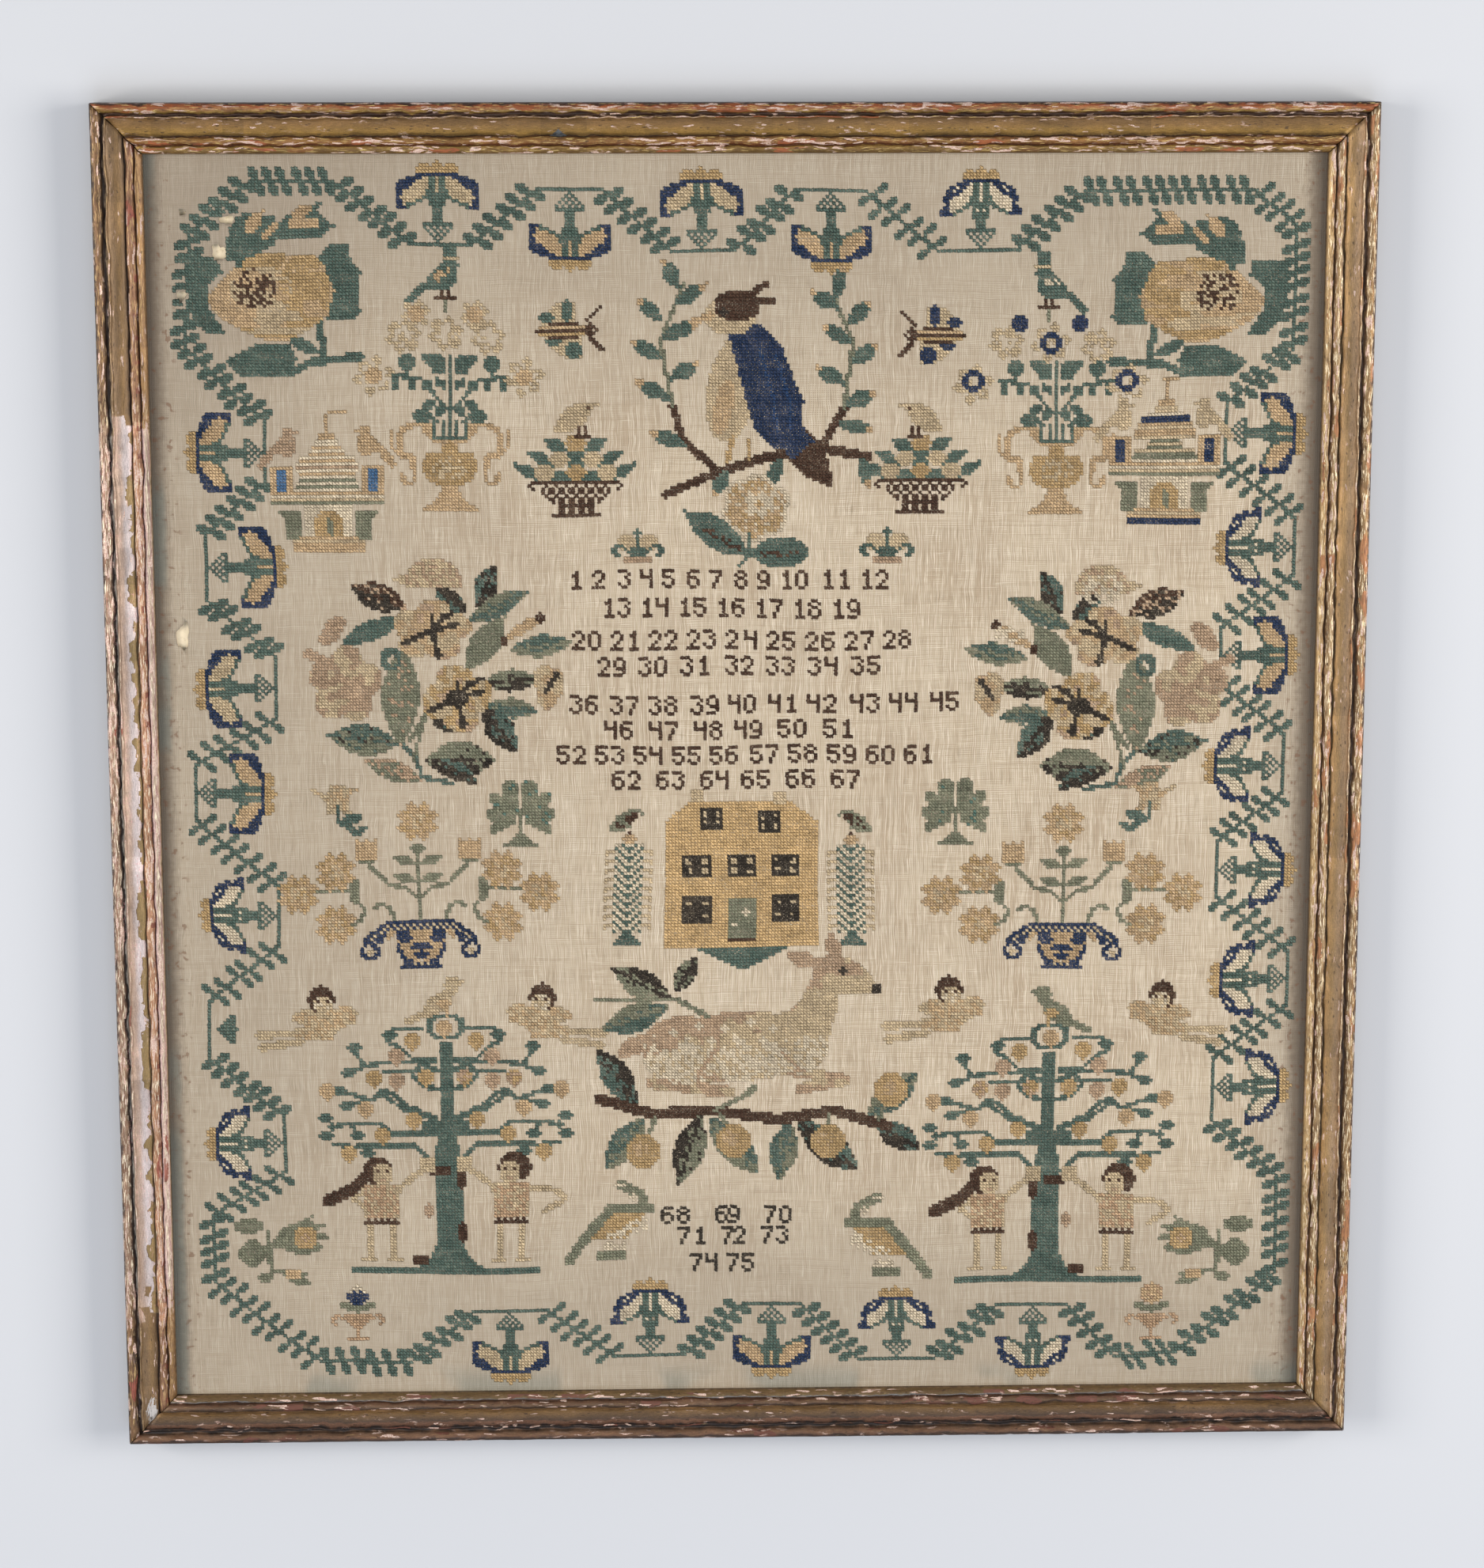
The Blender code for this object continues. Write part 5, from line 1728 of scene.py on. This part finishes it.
# %% People
def person(z, long_hair):
    """A small standing figure with one arm raised to the tree, and a belt of leaves."""
    x, y = z.real, z.imag
    sew((abs(abs(x) - 3.4) < 1.3) & (y >= 0) & (y < 12) | (abs(abs(x) - 4) < 2.6) & (y == 0), "straw")
    sew(
        (abs(x) < 5.2) & between(y, 13, 25)
        | (abs(x) < 6.2) & between(y, 21, 24)
        | (abs(x) < 1.6) & (y == 25),
        "straw",
    )
    sew(stroke(z, [5 + 23j, 9 + 26j, 14 + 30j], 1.9) | oval(z, 15 + 31j, 2.9, 3), "straw")
    if long_hair:
        sew(oval(z, -1 + 29j, 4.8, 5) | stroke(z, [-3 + 29j, -9 + 23j, -17 + 19j], 3.6), "brown")
        sew(stroke(z, [-5 + 22j, -9 + 20j, -5 + 17j], 1.7), "straw")
    else:
        sew(oval(z, -1 + 29.5j, 5.2, 5) & (y > 25), "brown")
        sew(stroke(z, [-5 + 23j, -14 + 22j, -17 + 19j, -10 + 15j], 1.7), "straw")
    sew(oval(z, 0.5 + 28j, 3.2, 3.4), "straw")
    sew(
        (y == 29) & (abs(abs(x - 0.5) - 1.5) < 0.6) | (abs(x) < 6) & ((y == 12) | (y == 13) & (x % 2 == 0)),
        "brown",
    )
    sew((y == 26) & (abs(x - 0.5) < 1) | (y == 17) & (x == 0), "rosewood")
    sew(speckled((abs(x) < 6) & between(y, 12, 25) & worked_in("straw"), 0.6, 52), "flesh")


person(spot(-115, -153), True)
person(spot(-73, -153, mirrored=True), False)
person(spot(79, -158), True)
person(spot(121, -158, mirrored=True), False)


# %% Winged children
def winged_child(z):
    """A child in the air: a round head over spread wings, with the legs trailing to the left."""
    outline = [
        -9 - 1j, -4 + 1j, 5 + 1j, 9 + 2j, 11 - 1j, 10 - 4j, 5 - 6j, 3 - 9j, -6 - 9j, -9 - 8j, -6 - 5j,
        -10 - 3j,
    ]
    body = patch(z, outline)
    sew(body | stroke(z, [-4 - 7j, -20 - 8j], 2.6) | stroke(z, [-7 - 10j, -19 - 12j], 2.4), "straw")
    sew(speckled(body, 0.45, 53), "ochre")
    sew(oval(z, 0 + 3.5j, 4.2, 4.6) & (z.imag > -1), "brown")
    sew(oval(z, 0.5 + 2.2j, 3.1, 2.8), "straw")
    sew(speckled(oval(z, 0.5 + 2.2j, 3.1, 2.8), 0.3, 57), "cream")
    sew((z.imag == 3) & (abs(abs(z.real - 0.5) - 1.5) < 0.6), "brown")


winged_child(spot(-132, -71))
winged_child(spot(-63, -71, mirrored=True))
winged_child(spot(66, -70))
winged_child(spot(134, -71, mirrored=True))
print("crosses so far:", int((chart > 0).sum()))


# %% Birds, sprigs and small urns
def perched_bird(z):
    """A long tailed green bird with a gold breast on its bar of turf."""
    sew((abs(z.real) < 5) & (z.imag >= 0) & (z.imag < 3), "moss")
    sew(speckled((abs(z.real - 1) < 4) & between(z.imag, 2, 6), 0.6, 54), "cream")
    sew(patch(z, [-7 + 7j, -1 + 16j, 11 + 16j, 9 + 11j, 4 + 7j]), "gold")
    sew(speckled(patch(z, [-3 + 7j, 11 + 15j, 11 + 10j, 4 + 6j]), 0.6, 55), "cream")
    sew(
        stroke(z, [12 + 17j, 0 + 17j, -5 + 11j, -9 + 6j, -13 + 0j], 3.2)
        | stroke(z, [11 + 17j, 9 + 22j, 3 + 25j], 3.0),
        "moss",
    )
    sew(stroke(z, [4 + 25j, 1 + 25j]) | (abs(z - 7 - 21j) < 1.2), "cream")


def rose_sprig(z):
    """A rose and its bud lying on one stalk, with two big leaves and mossy sepals."""
    sew(
        stroke(z, [0 + 5j, 1 - 9j], 1.5)
        | stroke(z, [-1 + 0j, 16 + 1j], 1.7)
        | stroke(z, [1 - 8j, 12 - 9j], 1.3),
        "moss",
    )
    sew(oval(z, -5 - 2j, 4.2, 4.2) | oval(z, -6 + 7j, 4.4, 2.6) | oval(z, -1 - 10j, 2.2, 1.8), "moss")
    sew(leaf(z, 1 + 1j, 15 + 8j, 6) | leaf(z, 4 + 0j, 18 + 0j, 5) | leaf(z, 13 + 4j, 20 + 3j, 2.6), "moss")
    sew(
        stroke(z, [9 + 6j, 14 + 10j]) | stroke(z, [13 + 6j, 18 + 7j]) | leaf(z, 4 - 8j, 14 - 13j, 3.2),
        "moss",
    )
    sew(oval(z, 12 + 3j, 3.9, 3.7), "gold")
    sew((abs(z - 12 - 3j) < 2.2) & ((z.real + z.imag) % 2 == 0), "rosewood")
    sew(oval(z, 8 - 9j, 2.8, 1.9), "ochre")


def small_urn(z, round_flower):
    """A little two handled urn that holds one flower."""
    side = fold(z)
    y = z.imag
    cup = (
        between(y, 3, 9) & (side.real < 0.9 * (y - 2.5))
        | (y < 1) & (y >= 0) & (side.real < 3.5)
        | (y < 4) & (y > 0) & (side.real < 1)
    )
    sew(cup | stroke(side, [4 + 7j, 7 + 8j, 8 + 6j, 7 + 5j]), "flesh")
    sew((side.real < 1) & between(y, 8, 13) | leaf(side, 0 + 10j, 6 + 12j, 2.6), "moss")
    if round_flower:
        sew(oval(z, 15.5j, 3.7, 3.6), "ochre")
        sew(speckled(oval(z, 15.5j, 3.4, 3.4), 0.3, 56), "flesh")
    else:
        sew(oval(z, 14.5j, 3.8, 2.4) | (side.real < 2) & between(y, 11, 15), "navy")
        sew((side.real < 19 - y) & between(y, 15, 19) & ((side.real + y) % 2 == 0), "cream")


perched_bird(spot(-41, -154))
perched_bird(spot(47, -159, mirrored=True))
rose_sprig(spot(-151, -149))
rose_sprig(spot(154, -151, mirrored=True))
small_urn(spot(-123, -180), False)
small_urn(spot(133, -182), True)
print("crosses so far:", int((chart > 0).sum()))


# %% Hind at rest
def hind(z):
    """A hind lying down with its head raised. The back is darkest, the belly palest, and the parts
    between shade by a slow wave, as shaded silks do."""
    body = oval(z, 0, 27, 11.5, turn=3) | oval(z, -17 - 1j, 13, 11.5) | oval(z, 17 + 1j, 12, 10.5)
    neck = patch(z, [12 + 8j, 20 + 16j, 25 + 25j, 33 + 22j, 31 + 11j, 28 + 0j])
    head = leaf(z, 23 + 27j, 46 + 17j, 11.5, belly=0.75)
    ears = leaf(z, 26 + 26j, 15 + 30j, 5) | leaf(z, 31 + 27j, 29 + 37j, 4.5)
    legs = stroke(z, [17 - 8j, 34 - 11j, 20 - 14j], 3.6) | stroke(z, [-8 - 10j, -27 - 12j, -2 - 15j], 3.8)
    tail = leaf(z, -27 + 4j, -38 - 3j, 6)
    whole = body | neck | head | ears | legs | tail
    shade = waves(z.real, z.imag, 61, 3, 14)
    sew(whole, "straw")
    sew(whole & (z.imag - 0.4 * z.real + 2.5 * shade > 8), "rosewood")
    sew(ears | tail | legs & (shade < 0.4), "rosewood")
    sew(head & (z.imag < 22) | neck & (z.real > 27 + shade), "straw")
    sew(speckled(body & (z.imag + 2 * shade < 1), 0.7, 62), "cream")
    for dapple in (-20 + 5j, -12 + 7j, -4 + 6j, 4 + 8j, 11 + 6j, -16 + 1j, -8 + 2j, 0 + 2j, 8 + 2j):
        sew(abs(z - dapple) < 1.3, "cream")
    sew((abs(z - 33 - 24j) < 1.2) | (abs(z - 44 - 18j) < 1.5), "char")
    sew(stroke(z, [14 - 2j, 20 - 8j, 16 - 9j]) | stroke(z, [-6 + 0j, -12 - 9j, -4 - 11j]), "rosewood")


hind(spot(-1, -84))

BOUGH = [-45 - 101j, -28 - 106j, -8 - 105j, 12 - 108j, 30 - 105j, 47 - 110j]
BOUGH_LEAVES = [
    (-33 - 104j, -45 - 84j, 9.5, "teal", "char"),
    (-30 - 107j, -44 - 124j, 9.5, "moss", "teal"),
    (-12 - 106j, -20 - 129j, 9.5, "moss", "char"),
    (-10 - 107j, 6 - 126j, 10.5, "teal", "moss"),
    (16 - 108j, 12 - 128j, 9.0, "moss", "teal"),
    (18 - 108j, 38 - 125j, 10.5, "teal", "char"),
    (40 - 107j, 57 - 92j, 9.5, "moss", "teal"),
    (43 - 109j, 58 - 118j, 8.5, "teal", "char"),
    (-22 - 70j, -44 - 78j, 9.5, "teal", "moss"),
    (-21 - 68j, -40 - 58j, 9.0, "moss", "char"),
    (-20 - 66j, -14 - 54j, 6.0, "moss", "char"),
]
for root, tip, width, lit, dark in BOUGH_LEAVES:
    shaded_leaf(squares, root, tip, width, lit, dark)
sew(stroke(squares, BOUGH, 3.4), "brown")
sew(
    stroke(squares, [-46 - 68j, -20 - 68j, -10 - 74j], 1.6)
    | stroke(squares, [-8 - 105j, 2 - 100j, 5 - 97j], 1.6),
    "moss",
)
BOUGH_FRUIT = [
    (-31 - 118j, -27 - 107j),
    (-2 - 115j, -6 - 106j),
    (28 - 115j, 28 - 106j),
    (48 - 98j, 44 - 108j),
]
for fruit, stalk in BOUGH_FRUIT:
    sew(stroke(squares, [stalk, fruit], 1.4), "moss")
    sew(oval(squares, fruit, 5.9, 5.4), "gold")
    sew(speckled(oval(squares, fruit - 1 + 1j, 2.8, 2.6), 0.55, 63), "ochre")

# The moths ate the silk with the linen, so no cross spans a hole.
where = (squares + 0.5 + 0.5j) * STITCH / MM
for x, y, wide, high, notch in HOLES:
    chart[oval(where, complex(x, y), wide + 0.5, high + 0.5)] = 0
print("crosses in the whole chart:", int((chart > 0).sum()))

# %% [markdown]
# ## The crosses
#
# A cross stitch is two slanting legs over the same four holes, the second always over the first. Each
# leg of loosely twisted silk is thin where it dives into a hole and swells over the threads between.
# Each leg is a small closed solid of five or six points, and all are worked out together as arrays.
# The hand shows: legs are pulled unevenly, and dye lots and light have left no two quite alike.

# %% Legs of the crosses
LEG_WIDTH, LEG_HEIGHT = 0.74 * MM, 0.32 * MM
# How unevenly legs are pulled, and how much their widths and heights differ: the spread of each, as a
# share of a stitch or of the leg's own size.
PULL_SPREAD, WIDTH_SPREAD, HEIGHT_SPREAD = 0.08, 0.09, 0.12
# Points of a leg: the share of the way along it, across it and up it. The under leg is a tent with one
# crown, mostly hidden; the upper one is a roof with a ridge. Both start and end below the linen.
CORNERS = [[0.0, -0.5, -0.1], [0.0, 0.5, -0.1], [1.0, 0.5, -0.1], [1.0, -0.5, -0.1]]
UNDER_LEG = np.array(CORNERS + [[0.5, 0.0, 1.0]])
UPPER_LEG = np.array(CORNERS + [[0.2, 0.0, 1.2], [0.8, 0.0, 1.2]])
UNDER_FACES = [[0, 3, 4], [3, 2, 4], [2, 1, 4], [1, 0, 4], [0, 1, 2], [0, 2, 3]]
UPPER_FACES = [[0, 3, 5], [0, 5, 4], [3, 2, 5], [2, 1, 4], [2, 4, 5], [1, 0, 4], [0, 1, 2], [0, 2, 3]]
CROSS_FACES = np.array(UNDER_FACES + (np.array(UPPER_FACES) + len(UNDER_LEG)).tolist())
CROSS_POINTS = len(UNDER_LEG) + len(UPPER_LEG)
# Shade is painted on the points where a leg dives, and a highlight on its crown.
CROSS_SHADE_AND_HIGHLIGHT = np.where(np.concatenate([UNDER_LEG, UPPER_LEG])[:, 2] > 0, 1.42, 0.44)


def leg(places, diagonal, shape, rng):
    """Points of one leg of each cross. It runs from hole to hole along the diagonal, its width lies
    along the level normal, and its height is added to the linen's own."""
    centre = (places + 0.5 + 0.5j) * STITCH
    pull = rng.normal(0, PULL_SPREAD, (len(places), 2)) @ np.array([1, 1j]) * STITCH
    start = centre - diagonal + pull
    step = 2 * diagonal - 0.6 * pull
    side = 1j * step / abs(step) * LEG_WIDTH * rng.normal(1, WIDTH_SPREAD, start.shape)
    along, across, up = shape.T
    flat = start[:, None] + step[:, None] * along + side[:, None] * across
    points = lie(flat.real, flat.imag)
    points[..., 2] += up * LEG_HEIGHT * rng.normal(1, HEIGHT_SPREAD, start.shape)[:, None]
    return points


# How much light and wear have faded the silks in patches, and how much one dip of dye differs from the
# next, as shares of their colour; and the linen tone that the palest silks have worn to.
FADE, DIP_SPREAD = 0.06, 0.10
WORN_SILK = "#b7a587"


def silk_colours(places, silk, rng):
    """Linear colour of each cross: its dye, faded in slow patches, and a little different each time."""
    fade = FADE * waves(places.real * STITCH, places.imag * STITCH, 51 + SHADES.index(silk), 9 * MM, 60 * MM)
    lot = rng.normal(0, DIP_SPREAD, places.shape) + fade
    dye = np.array(linear(SILKS[silk])[:3])
    bare = np.array(linear(WORN_SILK)[:3])
    worn = np.clip(0.2 * lot, 0, 0.05)[:, None]
    return np.clip((dye * (1 - worn) + bare * worn) * (1 + lot[:, None]), 0.005, 0.9)


CROSSES_A_PIECE = 9000


def work_crosses(name, places, silk, seed):
    """One piece of crosses in one silk, coloured cross by cross with painted shade and highlight, with a
    map laid flat over the linen.
    """
    rng = np.random.default_rng(seed)
    under = leg(places, (0.5 + 0.5j) * STITCH, UNDER_LEG, rng)
    upper = leg(places, (0.5 - 0.5j) * STITCH, UPPER_LEG, rng)
    points = np.concatenate([under, upper], axis=1)
    faces = (CROSS_FACES + CROSS_POINTS * np.arange(len(places))[:, None, None]).reshape(-1, 3)
    piece = make_piece(name, points, faces.tolist())
    colours = np.ones((len(places) * CROSS_POINTS, 4))
    colours[:, :3] = np.repeat(silk_colours(places, silk, rng), CROSS_POINTS, axis=0)
    # Each leg gets painted shade at its ends and a painted highlight on its crown; the dye attribute keeps
    # that with the silk's colour.
    colours[:, :3] *= np.tile(CROSS_SHADE_AND_HIGHLIGHT, len(places))[:, None]
    store(piece, "dye", colours, "FLOAT_COLOR")
    spread = points.reshape(-1, 3)[faces.ravel(), :2] / (2 * CLOTH_HEIGHT) + 0.5
    piece.data.uv_layers.new(name="OFBake").data.foreach_set("uv", spread.astype(np.float32).ravel())
    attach(piece, "root")
    return piece


crosses = []
for shade, silk in enumerate(SILKS, start=1):
    places = squares[chart == shade]
    for part in range(math.ceil(len(places) / CROSSES_A_PIECE)):
        share = places[part * CROSSES_A_PIECE : (part + 1) * CROSSES_A_PIECE]
        crosses.append(work_crosses(f"crosses_{silk}_{part + 1}", share, silk, 100 * shade + part))
print("crosses:", int((chart > 0).sum()), "in pieces:", len(crosses))
print("cross triangles:", sum(len(piece.data.polygons) for piece in crosses))

# %% [markdown]
# Silk floss has a soft sheen along its strands. The colour comes from each cross, and fine noise
# splits it into strands, each in a lit or a shadowed copy of that colour as a painted sheen, drawn
# coarser than the real ones so that they show.

# %% Silk
silk_material, tree = new_material("dyed_silk_floss")
dye = node(tree, "Attribute", {}, attribute_name="dye")
floss_place = node(tree, "TexCoord", {}, out=3)
strand = node(tree, "TexNoise", {"Vector": floss_place, "Scale": 1 / (0.22 * MM), "Detail": 1.0})
# Painted light: each strand takes a shadowed or a lit copy of the cross's colour.
shadowed = node(tree, "HueSaturation", {"Color": dye, "Value": 0.62, "Saturation": 1.05})
lit = node(tree, "HueSaturation", {"Color": dye, "Value": 1.22, "Saturation": 0.95})
floss = mixed(tree, stepped(tree, strand, 0.36, 0.62), shadowed, lit)
silk_relief = node(tree, "Bump", {"Height": strand, "Strength": 0.35, "Distance": 0.08 * MM})
silk_inputs = {"Base Color": floss, "Roughness": 0.65, "Specular IOR Level": 0.15, "Normal": silk_relief}
finish_material(tree, node(tree, "BsdfPrincipled", silk_inputs))
for piece in crosses:
    piece.data.materials.append(silk_material)
print("pieces of crosses with the silk's shading:", len(crosses))
